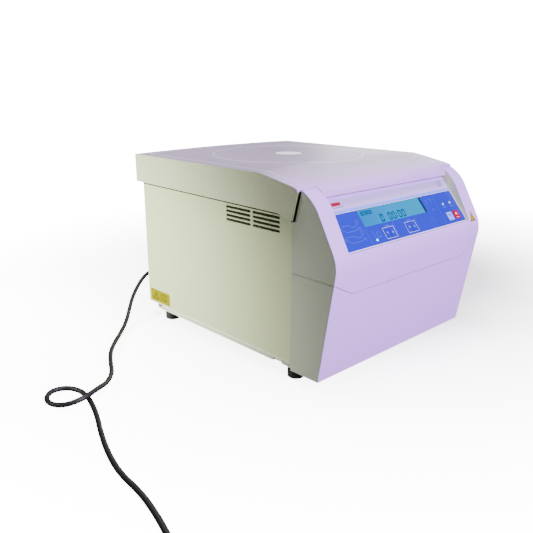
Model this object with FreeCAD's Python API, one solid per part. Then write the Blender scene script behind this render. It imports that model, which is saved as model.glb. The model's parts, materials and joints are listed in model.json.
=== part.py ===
import FreeCAD, Part
import math
import os

# Bench centrifuge. Millimetres, +X to the right, -Y is the front, +Z up.
# The origin is on the surface it stands on, under the middle of its box (cord left out).

# ---- overall sizes -------------------------------------------------------------------
body_width = 370.0
depth = 468.0
height = 303.0
lid_overhang = 6.0
foot_height = 14.0

# ---- walls and clearances ------------------------------------------------------------
shell_wall = 3.0
sheet = 2.0
running_gap = 0.05
loose_gap = 0.3
seam_gap = 0.8
lid_gap = 2.4
skirt_gap = 2.3

# ---- side outline: lines from the lid top to the foot of the front cover --------------
top_slope = math.radians(10.3)
cheek_slope = math.radians(61.2)
apron_lean = math.radians(9.3)
break_radius = 400.0
shoulder_radius = 70.0
nose_radius = 50.0
nose_height = 192.8
lid_back_radius = 5.0
lid_crown = 2.8
crown_margin = 1.0
cover_bottom = foot_height + 0.5

# ---- side panels, rear panel, deck ---------------------------------------------------
seam_y = -153.0
rear_inset = 12.7
panel_bottom = 27.0
deck_top = 270.0
vent_columns = ((-67.0, -10.3), (-128.8, -71.2))
vent_top_row = 240.2
vent_pitch = 6.6
vent_rows = 4
vent_height = 4.2
tray_inset = 7.0
tray_sheet = 3.0
tray_wall_inset = 6.0
tray_rear = 205.0
foot_radius = 13.0
foot_places = ((170.0, -150.0), (167.0, 174.0))

# ---- groove between the two front covers ---------------------------------------------
groove_side = 164.5
groove_front = 143.5
groove_knee = 142.7

# ---- lid -----------------------------------------------------------------------------
skirt_back = 252.2
skirt_front = 248.0
skirt_dip = 240.8
skirt_dip_start = -131.0
skirt_dip_run = 22.0
gap_foot_y = -156.6
gap_slope = math.atan2(11.5, 44.6)
cheek_inner = 155.5
tongue_gap = 1.6
lip_y = -178.0
lip_bottom = 272.0
liner_bottom = 277.0
liner_sheet = 2.0
plug_bottom = 271.0
window_radius = 22.8
mark_radius = 131.5
mark_width = 0.9
mark_depth = 0.4
border_inset = 18.0

# ---- hinge ---------------------------------------------------------------------------
hinge_y = 205.0
hinge_z = 235.0
hinge_x = 120.0
pin_radius = 4.0
boss_radius = 9.0
arm_thick = 6.0
ear_thick = 3.0
ear_gap = 18.0

# ---- latch ---------------------------------------------------------------------------
latch_x = 70.0
latch_y = -130.0
latch_pivot_y = -143.0
latch_pivot_z = 250.0
latch_shaft = 3.0
latch_throw = 25.0
striker_z = 262.0
striker_radius = 2.0

# ---- chamber and rotor ---------------------------------------------------------------
axis_y = 40.5
chamber_radius = 150.0
plug_radius = chamber_radius - 20.0
chamber_floor = 133.0
bowl_wall = 1.5
guard_radius = 158.0
guard_wall = 4.0
seal_height = 5.0
trunnion_circle = 62.0
trunnion_height = 222.0
bucket_radius = 26.0
bucket_wall = 2.5
bucket_below = 74.0
bucket_above = 18.0
trunnion_pin = 4.0
fork_face = bucket_radius + 2.5
fork_thick = 7.5
fork_reach = 68.0
yoke_low = 212.0
yoke_high = 232.0
hub_radius = 20.0
shaft_radius = 6.0

# ---- motor ---------------------------------------------------------------------------
motor_radius = 48.0
motor_wall = 4.0
motor_low = 36.0
motor_high = 118.0
bearing_height = 10.0
bearing_radius = 14.0

# ---- control panel, in its own plane: x across, s up the slope, n out of it -----------
panel_foot_y = -226.0
panel_foot_z = 204.1
panel_slope = math.radians(50.4)
panel_length = 84.0
plate_foot = -3.0
plate_length = 57.5
plate_thick = 1.6
lcd_box = (-93.5, 59.0, 28.4, 56.2)
key_row = (4.4, 19.3)
key_columns = {
    "speed_down_key": (-59.6, -48.9),
    "speed_up_key": (-47.6, -36.9),
    "time_down_key": (-4.8, 5.9),
    "time_up_key": (7.2, 17.9),
    "start_key": (108.4, 123.6),
    "stop_key": (127.4, 142.2),
}
key_gap = 0.35
key_proud = 0.5
board_depth = 12.0

# ---- rear fittings -------------------------------------------------------------------
inlet_x = -112.0
inlet_z = 60.0
inlet_mouth = (24.5, 16.5)
inlet_depth = 15.0
switch_x = -60.0
switch_z = 60.0
rocker_size = (12.0, 20.0)
fan_x = 128.0
fan_z = 92.0
fan_size = 80.0
fan_depth = 25.0

# ---- mains lead ----------------------------------------------------------------------
cord_radius = 3.6
connector_end = 271.0
route = [
    (-112, 271, 60), (-112, 289, 60), (-121, 303, 56), (-140, 303, 50), (-163, 288, 44),
    (-190, 264, 37), (-214, 240, 29), (-234, 218, 17), (-254, 196, 7), (-284, 165, 3.6),
    (-314, 134, 3.6), (-335, 108, 3.6), (-353, 76, 3.6), (-369, 42, 3.6), (-392, 15, 5),
    (-418, -5, 12.5),
    (-446, -18, 12.5), (-468, -9, 7), (-479, 12, 3.6), (-477, 34, 3.6), (-462, 49, 3.6),
    (-443, 45, 3.6), (-432, 27, 3.6), (-431, 3, 3.6), (-437, -24, 3.6), (-447, -56, 3.6),
    (-463, -95, 3.6), (-478, -138, 3.6), (-489, -185, 3.6), (-490, -232, 3.6),
    (-498, -276, 3.6), (-509, -316, 3.6), (-510, -352, 3.6),
]
coil_radius = 38.0
coil_layers = 2

lid_width = body_width + 2 * lid_overhang
half_body = body_width / 2
half_lid = lid_width / 2
front_y = -depth / 2
lid_back = depth / 2
rear_y = lid_back - rear_inset
gap_run = math.tan(gap_slope)
tray_half = half_body - tray_inset


def vec(x, y, z):
    return FreeCAD.Vector(x, y, z)


def box(x0, x1, y0, y1, z0, z1):
    return Part.makeBox(x1 - x0, y1 - y0, z1 - z0, vec(x0, y0, z0))


def rod(radius, start, end):
    way = end - start
    return Part.makeCylinder(radius, way.Length, start, way)


def upright(radius, x, y, z0, z1):
    return Part.makeCylinder(radius, z1 - z0, vec(x, y, z0))


def ring(outer, inner, x, y, z0, z1):
    return upright(outer, x, y, z0, z1).cut(upright(inner, x, y, z0 - 1, z1 + 1))


def join(shapes):
    return shapes[0].multiFuse(shapes[1:]).removeSplitter() if len(shapes) > 1 else shapes[0]


def group(shapes):
    return Part.makeCompound(shapes)


def mirrored(shape):
    return shape.mirror(vec(0, 0, 0), vec(1, 0, 0))


def rounded_wire(points, radii):
    """A closed wire through the corners, each rounded to its own radius."""
    starts, edges = [], []
    count = len(points)
    for i in range(count):
        before, here, after = points[i - 1], points[i], points[(i + 1) % count]
        back = (before - here).normalize()
        on = (after - here).normalize()
        if radii[i] == 0:
            starts.append((here, here))
            continue
        half_angle = back.getAngle(on) / 2
        setback = radii[i] / math.tan(half_angle)
        first, last = here + back * setback, here + on * setback
        middle = here + (back + on).normalize() * (radii[i] / math.sin(half_angle) - radii[i])
        edges.append(Part.Arc(first, middle, last).toShape())
        starts.append((first, last))
    for i in range(count):
        leave, reach = starts[i][1], starts[(i + 1) % count][0]
        if (leave - reach).Length > 1e-6:
            edges.append(Part.LineSegment(leave, reach).toShape())
    return Part.Wire(Part.__sortEdges__(edges))


def side_prism(outline, x0, x1, radii=None):
    """Extrude a (y, z) outline from x0 to x1."""
    points = [vec(x0, y, z) for y, z in outline]
    wire = rounded_wire(points, radii or [0] * len(points))
    return Part.Face(wire).extrude(vec(x1 - x0, 0, 0))


def front_prism(outline, y0, y1, radii=None):
    """Extrude an (x, z) outline from y0 to y1."""
    points = [vec(x, y0, z) for x, z in outline]
    wire = rounded_wire(points, radii or [0] * len(points))
    return Part.Face(wire).extrude(vec(0, y1 - y0, 0))


def turned(outline, x, y):
    """Revolve an (r, z) outline about the upright through x, y."""
    wire = Part.makePolygon([vec(x + r, y, z) for r, z in outline + outline[:1]])
    return Part.Face(wire).revolve(vec(x, y, 0), vec(0, 0, 1), 360)


# ---- silhouette shared by the lid and the two front covers ---------------------------
def silhouette(inset):
    """The (y, z) corners and radii of the outer side outline, drawn in by inset."""
    spread = (math.sin(cheek_slope) + math.cos(apron_lean))
    corner = nose_radius * spread / (1 + math.cos(math.pi / 2 - cheek_slope + apron_lean))
    nose = (front_y + nose_radius - corner, nose_height)
    foot_y = nose[0] + (nose_height - cover_bottom) * math.tan(apron_lean)
    shoulder_z = 283.6 + (height - 303.0)
    shoulder = (nose[0] + (shoulder_z - nose_height) / math.tan(cheek_slope), shoulder_z)
    roof = height + crown_margin
    brow_y = shoulder[0] + (roof - shoulder_z) / math.tan(top_slope)
    corners = [(lid_back, cover_bottom), (lid_back, roof), (brow_y, roof), shoulder, nose,
               (foot_y, cover_bottom)]
    radii = [0, lid_back_radius, break_radius, shoulder_radius, nose_radius, 0]
    wire = rounded_wire([vec(0, y, z) for y, z in corners], radii)
    return wire if inset == 0 else wire.makeOffset2D(-inset, 2)


def silhouette_solid(inset, half_width):
    face = Part.Face(silhouette(inset))
    face.translate(vec(-half_width, 0, 0))
    return face.extrude(vec(2 * half_width, 0, 0))


def gap_y(z, forward):
    """Where the slanting gap edge between lid and cheek is at height z."""
    return gap_foot_y - (z - skirt_dip) * gap_run - forward


def front_region(forward, ledge):
    """Everything in front of the seam and the slanting gap."""
    top = height + 20
    return side_prism([(seam_y, 0), (seam_y, ledge), (gap_y(ledge, forward), ledge),
                       (gap_y(top, forward), top), (front_y - 40, top), (front_y - 40, 0)],
                      -half_lid - 5, half_lid + 5)


def crown(width, drop):
    """A broad arch over the full depth that gives the lid top its slight crown."""
    reach = width / 2
    rise = Part.Arc(vec(-reach, front_y - 5, height - lid_crown - drop),
                    vec(0, front_y - 5, height - drop),
                    vec(reach, front_y - 5, height - lid_crown - drop)).toShape()
    sides = Part.makePolygon([vec(reach, front_y - 5, height - lid_crown - drop),
                              vec(reach, front_y - 5, 0), vec(-reach, front_y - 5, 0),
                              vec(-reach, front_y - 5, height - lid_crown - drop)])
    return Part.Face(Part.Wire([rise] + sides.Edges)).extrude(vec(0, depth + 10, 0))


# ---- control panel plane -------------------------------------------------------------
def on_panel(shape):
    placed = shape.copy()
    placed.rotate(vec(0, 0, 0), vec(1, 0, 0), math.degrees(panel_slope))
    placed.translate(vec(0, panel_foot_y, panel_foot_z))
    return placed


def panel_recess(sink, half_width):
    """The wedge cut out between the cheeks, down to the panel plane less sink."""
    far, low = 260.0, plate_foot - sink
    wedge = Part.makePolygon([vec(-half_width, low, -sink), vec(-half_width, far, -sink),
                              vec(-half_width, far, far), vec(-half_width, low - 30, far),
                              vec(-half_width, low - 30, -sink + 22),
                              vec(-half_width, low, -sink)])
    return on_panel(Part.Face(wedge).extrude(vec(2 * half_width, 0, 0)))


# ---- front covers --------------------------------------------------------------------
def chevron(raise_by):
    """The space above the groove line, which dips across the front."""
    far = half_lid + 20
    outline = [(-far, groove_side + raise_by), (-half_body, groove_side + raise_by),
               (-groove_knee, groove_front + raise_by), (groove_knee, groove_front + raise_by),
               (half_body, groove_side + raise_by), (far, groove_side + raise_by),
               (far, height + 30), (-far, height + 30)]
    return front_prism(outline, front_y - 20, seam_y + 20)


def cover_blank():
    ledge = skirt_dip - skirt_gap
    outer = silhouette_solid(0, half_body).common(front_region(lid_gap, ledge))
    return outer


def cover_hollow():
    ledge = skirt_dip - skirt_gap - shell_wall
    inner = silhouette_solid(shell_wall, half_body - shell_wall)
    low = box(-half_body + shell_wall, half_body - shell_wall, front_y + 40, 0, 0, shell_wall * 2
              + cover_bottom)
    inner = inner.fuse(low.common(silhouette_solid(shell_wall, half_body - shell_wall)))
    region = front_region(lid_gap + shell_wall, ledge)
    hollow = inner.common(region)
    open_back = box(-half_body + shell_wall, half_body - shell_wall, seam_y - 10, seam_y + 10,
                    cover_bottom, ledge)
    return hollow.fuse(open_back)


def front_cover_upper():
    blank = cover_blank().common(chevron(seam_gap / 2)).cut(panel_recess(0, cheek_inner))
    hollow = cover_hollow().cut(panel_recess(shell_wall, cheek_inner + shell_wall))
    cover = blank.cut(hollow)
    top = box(-cheek_inner, cheek_inner, front_y, 0, panel_top_z(), height + 20)
    pocket = box(-cheek_inner, cheek_inner, plate_foot - 0.4, plate_length + 0.2, -plate_thick,
                 5)
    window = box(-cheek_inner + 8, cheek_inner - 8, 3, plate_length - 1, -20, 5)
    return cover.cut(join([top, on_panel(pocket), on_panel(window)]))


def panel_top_z():
    return panel_foot_z + panel_length * math.sin(panel_slope)


def front_cover_lower():
    above = chevron(-seam_gap / 2)
    cover = cover_blank().cut(above).cut(cover_hollow())
    floor = box(-half_body, half_body, front_y, seam_y, 0, cover_bottom + shell_wall)
    opening = box(-half_body + 20, half_body - 20, front_y + 48, seam_y + 1, 0, 40)
    well = [upright(foot_radius + 2, side * x, y, 0, 40)
            for x, y in foot_places[:1] for side in (-1, 1)]
    sill = cover.common(floor).cut(join([opening] + well))
    return cover.cut(floor).fuse(sill).removeSplitter()


# ---- chassis -------------------------------------------------------------------------
def base_plate():
    wall_x = tray_half - tray_wall_inset
    front_half = half_body - shell_wall - 5
    plate = box(-tray_half, tray_half, seam_y + 6, tray_rear, foot_height,
                foot_height + tray_sheet)
    nose = box(-front_half, front_half, front_y + 42, seam_y + 6, cover_bottom + shell_wall,
               cover_bottom + shell_wall + tray_sheet)
    step = box(-front_half, front_half, seam_y + 4, seam_y + 8, foot_height,
               cover_bottom + shell_wall + tray_sheet)
    pieces = [plate, nose, step]
    for side in (-1, 1):
        x0, x1 = sorted((side * wall_x, side * (wall_x - sheet)))
        pieces.append(box(x0, x1, seam_y + 8, tray_rear - 1, foot_height, panel_bottom))
    pieces.append(box(-tray_half, tray_half, tray_rear - sheet, tray_rear, foot_height,
                      panel_bottom))
    notch = [box(*sorted((side * (tray_half - 4), side * (tray_half + 2))), -127, -108, 0,
                 foot_height + tray_sheet + 1) for side in (-1, 1)]
    return join(pieces).cut(join(notch))


def vent_slots():
    slots = []
    for y0, y1 in vent_columns:
        for row in range(vent_rows):
            z = vent_top_row - row * vent_pitch
            r = vent_height / 2
            body = box(half_body - 10, half_body + 10, y0 + r, y1 - r, z - r, z + r)
            ends = [rod(r, vec(half_body - 10, y, z), vec(half_body + 10, y, z))
                    for y in (y0 + r, y1 - r)]
            slots.append(join([body] + ends))
    return slots


def side_panel():
    """The right-hand one: a folded sheet with a lip along the bottom and the top."""
    top = deck_top - sheet
    back = rear_y - sheet
    skin = box(half_body - sheet, half_body, seam_y + 0.4, back, panel_bottom, top)
    foot_lip = box(tray_half - tray_wall_inset - sheet, half_body, seam_y + 8, back,
                   panel_bottom, panel_bottom + sheet)
    top_lip = box(half_body - 14, half_body, seam_y + 2, back, top - sheet, top)
    return join([skin, foot_lip, top_lip]).cut(group(vent_slots()))


def fan_holes(grow):
    bars = [rod(fan_size / 2 - 5 + grow, vec(fan_x, rear_y - 10, fan_z),
                vec(fan_x, rear_y + 10, fan_z))]
    return bars


def rear_panel():
    skin = box(-half_body, half_body, rear_y - sheet, rear_y, panel_bottom, deck_top - sheet)
    cuts = fan_holes(0)
    for side in (-1, 1):
        x = side * hinge_x
        cuts.append(box(x - ear_gap / 2, x + ear_gap / 2, rear_y - 10, rear_y + 10,
                        hinge_z - boss_radius - 2, deck_top + 5))
    w, h = inlet_mouth
    cuts.append(box(inlet_x - w / 2 - 2, inlet_x + w / 2 + 2, rear_y - 10, rear_y + 10,
                    inlet_z - h / 2 - 2, inlet_z + h / 2 + 2))
    w, h = rocker_size
    cuts.append(box(switch_x - w / 2 - 1.5, switch_x + w / 2 + 1.5, rear_y - 10, rear_y + 10,
                    switch_z - h / 2 - 1.5, switch_z + h / 2 + 1.5))
    for row in range(5):
        z = 150 + row * 8
        cuts.append(box(-60, 60, rear_y - 10, rear_y + 10, z, z + 3.5))
    return skin.cut(join(cuts))


def top_deck():
    plate = box(-half_body, half_body, seam_y + 1, rear_y, deck_top - sheet, deck_top)
    cuts = [upright(chamber_radius + bowl_wall + 1, 0, axis_y, 0, 400)]
    for side in (-1, 1):
        x = side * hinge_x
        cuts.append(box(x - ear_gap / 2, x + ear_gap / 2, hinge_y - boss_radius - 4, rear_y + 5,
                        0, 400))
        lx = side * latch_x
        cuts.append(box(lx - 9, lx + 9, seam_y - 5, latch_y + 8, 0, 400))
    return plate.cut(join(cuts))


def rubber_feet():
    feet = []
    for x, y in foot_places:
        for side in (-1, 1):
            foot = upright(foot_radius, side * x, y, 0, foot_height)
            rim = [e for e in foot.Edges if e.BoundBox.ZMax < 0.01]
            feet.append(foot.makeFillet(2.5, rim))
    return group(feet)


# ---- chamber -------------------------------------------------------------------------
def chamber_bowl():
    outer, corner = chamber_radius + bowl_wall, 20.0
    low = chamber_floor - bowl_wall
    outline = [(32, low), (outer - corner, low), (outer - corner * 0.3, low + corner * 0.3),
               (outer, low + corner), (outer, deck_top), (165, deck_top),
               (165, deck_top + bowl_wall), (chamber_radius, deck_top + bowl_wall),
               (chamber_radius, low + corner),
               (chamber_radius - corner * 0.3, chamber_floor + corner * 0.3),
               (chamber_radius - corner, chamber_floor), (32, chamber_floor)]
    return turned(outline, 0, axis_y)


def chamber_seal():
    low = deck_top + bowl_wall
    high = low + seal_height
    outline = [(152, low), (162, low), (162, high - 1.5), (160.5, high), (155, high),
               (152, high - 2)]
    return turned(outline, 0, axis_y)


def guard_ring():
    low = foot_height + tray_sheet
    guard = ring(guard_radius + guard_wall, guard_radius, 0, axis_y, low, deck_top - 10)
    door = box(-30, 30, axis_y - guard_radius - 10, axis_y, low - 1, low + 30)
    return guard.cut(door)


# ---- motor and drive -----------------------------------------------------------------
def motor_mount_plate():
    plate = box(-70, 70, axis_y - 70, axis_y + 70, motor_low - 4, motor_low)
    return plate.cut(upright(22, 0, axis_y, 0, 60))


def motor_dampers():
    low, high = foot_height + tray_sheet, motor_low - 4
    mid = (low + high) / 2
    outline = [(0.01, low), (12, low), (12, low + 3), (9, mid), (12, high - 3), (12, high),
               (0.01, high)]
    outline[0], outline[-1] = (0, low), (0, high)
    return group([turned(outline, sx * 55, axis_y + sy * 55) for sx in (-1, 1) for sy in (-1, 1)])


def motor_housing():
    can = ring(motor_radius, motor_radius - motor_wall, 0, axis_y, motor_low, motor_high)
    seat = bearing_radius + 5
    low = motor_low + motor_wall + bearing_height
    high = motor_high - motor_wall - bearing_height
    floor = ring(motor_radius, bearing_radius, 0, axis_y, motor_low + motor_wall,
                 motor_low + 2 * motor_wall)
    floor_cup = ring(seat, bearing_radius, 0, axis_y, motor_low + motor_wall, low)
    base = ring(motor_radius, 8, 0, axis_y, motor_low, motor_low + motor_wall)
    roof = ring(motor_radius, 10, 0, axis_y, motor_high - motor_wall, motor_high)
    roof_cup = ring(seat, bearing_radius, 0, axis_y, high, motor_high - motor_wall)
    fins = [box(motor_radius - 1, motor_radius + 5, -1, 1, motor_low + 8, motor_high - 8)
            for _ in range(16)]
    for i, fin in enumerate(fins):
        fin.rotate(vec(0, 0, 0), vec(0, 0, 1), i * 22.5)
        fin.translate(vec(0, axis_y, 0))
    return join([can, floor, floor_cup, base, roof, roof_cup] + fins)


def bearing(low):
    return ring(bearing_radius, shaft_radius + running_gap, 0, axis_y, low, low + bearing_height)


def stator_core():
    core = ring(motor_radius - motor_wall, 30, 0, axis_y, 60, 95)
    return core


def stator_windings():
    return group([ring(41, 32, 0, axis_y, 95, 101), ring(41, 32, 0, axis_y, 54, 60)])


def motor_rotor():
    return ring(29, shaft_radius, 0, axis_y, 58, 97)


def rotor_shaft():
    outline = [(0, 38), (5, 38), (shaft_radius, 39), (shaft_radius, 122), (9, 124), (9, 204),
               (7, 206), (7, 240), (0, 240)]
    return turned(outline, 0, axis_y)


def rotor_yoke():
    low, high = yoke_low, yoke_high
    hub = ring(hub_radius, 7, 0, 0, 206, 235)
    pieces = [hub]
    arm = box(10, 52, -8, 8, low, high)
    arm.rotate(vec(0, 0, 0), vec(0, 0, 1), 45)
    inner, outer = fork_face, fork_face + fork_thick
    fork = join([arm, box(inner, outer, inner, fork_reach, low, high),
                 box(inner, fork_reach, inner, outer, low, high),
                 box(inner, inner + 16, inner, inner + 16, low, high)])
    keep_clear = join([box(36, 200, -inner, inner, 0, 400), box(-inner, inner, 36, 200, 0, 400)])
    fork = fork.cut(keep_clear)
    tip = inner - 4.5
    pins = [rod(trunnion_pin, vec(trunnion_circle, inner + 1, trunnion_height),
                vec(trunnion_circle, tip, trunnion_height)),
            rod(trunnion_pin, vec(inner + 1, trunnion_circle, trunnion_height),
                vec(tip, trunnion_circle, trunnion_height))]
    quarter = join([fork] + pins)
    for i in range(4):
        turned_copy = quarter.copy()
        turned_copy.rotate(vec(0, 0, 0), vec(0, 0, 1), 90 * i)
        pieces.append(turned_copy)
    yoke = join(pieces)
    yoke.translate(vec(0, axis_y, 0))
    return yoke


def rotor_nut():
    nut = ring(13, 5, 0, axis_y, 240, 250).fuse(ring(16, 5, 0, axis_y, 235, 241))
    stem = upright(5, 0, axis_y, 240, 250)
    nut = join([nut, stem]).cut(upright(7, 0, axis_y, 230, 240))
    grip = [upright(2.5, 13.5 * math.cos(a), axis_y + 13.5 * math.sin(a), 241, 252)
            for a in [i * math.pi / 4 for i in range(8)]]
    return nut.cut(join(grip))


def bucket(index):
    """A round swing-out cup that hangs from two trunnion pins."""
    low, high = trunnion_height - bucket_below, trunnion_height + bucket_above
    inner = bucket_radius - bucket_wall
    cup = upright(bucket_radius, 0, 0, low, high)
    foot = [e for e in cup.Edges if e.BoundBox.ZMax < low + 0.01]
    cup = cup.makeFillet(6, foot)
    rim = upright(bucket_radius + 1.2, 0, 0, high - 4, high)
    tip = fork_face - 1
    bosses = [rod(8, vec(0, side * (bucket_radius - 6), trunnion_height),
                  vec(0, side * tip, trunnion_height)) for side in (-1, 1)]
    hollow = upright(inner, 0, 0, low + bucket_wall + 1, high + 5)
    body = join([cup, rim] + bosses).cut(hollow)
    bores = [rod(trunnion_pin + running_gap, vec(0, side * (fork_face - 5), trunnion_height),
                 vec(0, side * (fork_face + 5), trunnion_height)) for side in (-1, 1)]
    body = body.cut(join(bores))
    body.translate(vec(trunnion_circle, 0, 0))
    body.rotate(vec(0, 0, 0), vec(0, 0, 1), 90 * index)
    body.translate(vec(0, axis_y, 0))
    return body


# ---- lid -----------------------------------------------------------------------------
def lid_region(forward, tongue_half, lip):
    """Everything above the skirt's lower edge, back of the gap, with the tongue added."""
    top = height + 20
    skirt = side_prism([(lid_back + 5, skirt_back), (lid_back + 5, top),
                        (gap_y(top, forward), top), (gap_y(skirt_dip, forward), skirt_dip),
                        (skirt_dip_start - skirt_dip_run, skirt_dip), (skirt_dip_start, skirt_front)],
                       -half_lid - 5, half_lid + 5, [0, 0, 0, 0, 16, 40])
    tongue = side_prism([(seam_y + 10, lip_bottom), (seam_y + 10, top), (lip - 5, top),
                         (lip, lip_bottom + 13), (lip - 3, lip_bottom)],
                        -tongue_half, tongue_half)
    return skirt.fuse(tongue)


def lid_cover():
    tongue_half = cheek_inner - tongue_gap
    outer = silhouette_solid(0, half_lid).common(crown(lid_width + 20, 0))
    blank = outer.common(lid_region(0, tongue_half, lip_y))
    wall = shell_wall
    inner = silhouette_solid(wall, half_lid - wall).common(crown(lid_width + 20, wall))
    hollow_region = side_prism([(lid_back - wall, 0), (lid_back - wall, height),
                                (gap_y(height, -wall), height), (gap_y(0, -wall), 0)],
                               -half_lid, half_lid)
    throat = side_prism([(0, 0), (0, height), (lip_y - 5 + wall, height),
                         (lip_y + wall, lip_bottom + 13), (lip_y - 3 + wall, 0)],
                        -tongue_half + wall, tongue_half - wall)
    hollow = inner.common(hollow_region.fuse(throat))
    skirt_open = box(-half_lid + wall, half_lid - wall, gap_y(skirt_dip, -wall - 14),
                     lid_back - wall, 0, skirt_back + 8)
    cover = blank.cut(hollow).cut(skirt_open)
    marks = join([ring(mark_radius + mark_width / 2, mark_radius - mark_width / 2, 0, axis_y,
                       0, height + 5)] + border_lines()).cut(crown(lid_width + 20, mark_depth))
    marks = marks.cut(silhouette_solid(mark_depth, half_lid + 5))
    return cover.cut(marks).cut(upright(window_radius, 0, axis_y, 0, 400))


def border_lines():
    """Fine engraved lines along both sides and the back of the lid's top."""
    edge, back = half_lid - border_inset, lid_back - border_inset
    sides = [box(*sorted((side * edge, side * (edge - mark_width))), skirt_dip_start - 20, back,
                 deck_top, height + 5) for side in (-1, 1)]
    return sides + [box(-edge, edge, back - mark_width, back, deck_top, height + 5)]


def lid_liner(cover):
    reach = half_lid - shell_wall - 0.5
    front = gap_y(liner_bottom, -shell_wall - 2)
    back = lid_back - shell_wall - 0.5
    plate = box(-reach, reach, front, back, liner_bottom, liner_bottom + liner_sheet)
    plug = ring(plug_radius, window_radius, 0, axis_y, plug_bottom, liner_bottom + liner_sheet)
    pan = ring(plug_radius - 2, window_radius + 4, 0, axis_y, plug_bottom + 2, height)
    post_top = height - lid_crown - shell_wall + 1.8
    posts = [upright(5, sx * x, y, liner_bottom, post_top)
             for x, y in ((165, -78), (172, 40), (165, 190)) for sx in (-1, 1)]
    posts = join(posts).common(silhouette_solid(shell_wall / 2, half_lid))
    slots = [box(side * hinge_x - 8, side * hinge_x + 8, hinge_y - boss_radius - 5,
                 hinge_y + boss_radius + 5, 0, 400) for side in (-1, 1)]
    body = join([plate, posts]).fuse(plug).cut(pan)
    return body.cut(join(slots + [upright(window_radius + 2.2, 0, axis_y, 0, 400)])).cut(cover)


def lid_window():
    glass = upright(window_radius - 0.1, 0, axis_y, height - 3, height)
    rim = [e for e in glass.Edges if e.BoundBox.ZMin > height - 0.01]
    return glass.makeFillet(1.2, rim)


def window_frame(cover):
    tube = ring(window_radius + 2.2, window_radius - 2, 0, axis_y, plug_bottom, height - 3)
    return tube.cut(cover)


def hinge_arm(x):
    """A lid arm: a foot on the liner and a neck down to the hinge pin."""
    half = arm_thick / 2
    neck = box(x - half, x + half, hinge_y - 7, hinge_y + 7, hinge_z, liner_bottom + 7)
    eye = rod(boss_radius, vec(x - half, hinge_y, hinge_z), vec(x + half, hinge_y, hinge_z))
    foot = box(x - 12, x + 12, hinge_y - 60, hinge_y + 15, liner_bottom + liner_sheet,
               liner_bottom + liner_sheet + 4)
    bore = rod(pin_radius + running_gap, vec(x - 20, hinge_y, hinge_z),
               vec(x + 20, hinge_y, hinge_z))
    return join([neck, eye, foot]).cut(bore)


def hinge_bracket(x):
    """Two ears on a plate that is screwed inside the rear panel."""
    inner = rear_y - sheet
    pieces = [box(x - 16, x + 16, inner - 3, inner, 198, 222)]
    for side in (-1, 1):
        x0, x1 = sorted((side * ear_gap / 2, side * (ear_gap / 2 + ear_thick)))
        web = side_prism([(inner, 198), (inner, 222), (hinge_y + 7, hinge_z + 5),
                          (hinge_y - 7, hinge_z - 5), (inner - 8, 198)], x + x0, x + x1)
        eye = rod(boss_radius, vec(x + x0, hinge_y, hinge_z), vec(x + x1, hinge_y, hinge_z))
        pieces += [web, eye]
    hole = rod(pin_radius, vec(x - 30, hinge_y, hinge_z), vec(x + 30, hinge_y, hinge_z))
    return join(pieces).cut(hole)


def hinge_pin(x):
    half = ear_gap / 2 + ear_thick
    shank = rod(pin_radius, vec(x - half, hinge_y, hinge_z), vec(x + half, hinge_y, hinge_z))
    head = rod(pin_radius + 2.5, vec(x + half, hinge_y, hinge_z),
               vec(x + half + 2.5, hinge_y, hinge_z))
    return shank.fuse(head)


def lid_spring(x):
    """The close-wound coil of a torsion spring beside each arm."""
    wire_radius, mean_radius, turns = 0.95, 6.3, 3
    start = x - ear_gap / 2 + wire_radius + 0.3
    coils = [Part.makeTorus(mean_radius, wire_radius, vec(start + i * 1.7, hinge_y, hinge_z),
                            vec(1, 0, 0)) for i in range(turns)]
    return join(coils)


# ---- latch ---------------------------------------------------------------------------
def lid_strikers():
    bars = []
    for side in (-1, 1):
        x = side * latch_x
        legs = [box(x + o - 1.5, x + o + 1.5, latch_y - 2, latch_y + 2, striker_z - 2,
                    liner_bottom) for o in (-5.5, 5.5)]
        bar = rod(striker_radius, vec(x - 7, latch_y, striker_z), vec(x + 7, latch_y, striker_z))
        plate = box(x - 12, x + 12, latch_y - 8, latch_y + 8, liner_bottom - 2, liner_bottom)
        bars.append(join(legs + [bar, plate]))
    return group(bars)


def latch_hooks():
    """Two hooks on one shaft, shown swung forward, clear of the strikers."""
    start, end = -latch_x - 12, latch_x + 12
    pieces = [rod(latch_shaft, vec(start, 0, 0), vec(end, 0, 0))]
    bar_y, bar_z = latch_y - latch_pivot_y, striker_z - latch_pivot_z
    catch = bar_z + striker_radius + 0.6
    for side in (-1, 1):
        x = side * latch_x
        pieces.append(side_prism([(-4, -5), (4, -5), (4, catch), (bar_y + 2, catch),
                                  (bar_y, catch + 5), (-4, catch + 5)], x - 3, x + 3))
    hooks = join(pieces)
    hooks.rotate(vec(0, 0, 0), vec(1, 0, 0), latch_throw)
    hooks.translate(vec(0, latch_pivot_y, latch_pivot_z))
    return hooks


def latch_motor():
    y, z = latch_pivot_y, latch_pivot_z
    top = deck_top - sheet
    blocks = [box(x0, x0 + 10, y - 8, y + 8, z - 10, top) for x0 in (-26, 30)]
    gearbox = box(-26, -16, y - 8, y + 14, z - 32, z - 8)
    can = rod(9, vec(-16, y + 3, z - 20), vec(22, y + 3, z - 20))
    hanger = box(-26, 40, y - 8, y + 8, top - 3, top)
    shaft_way = rod(latch_shaft + running_gap, vec(-60, y, z), vec(60, y, z))
    return join(blocks + [can, gearbox, hanger]).cut(shaft_way)


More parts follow.
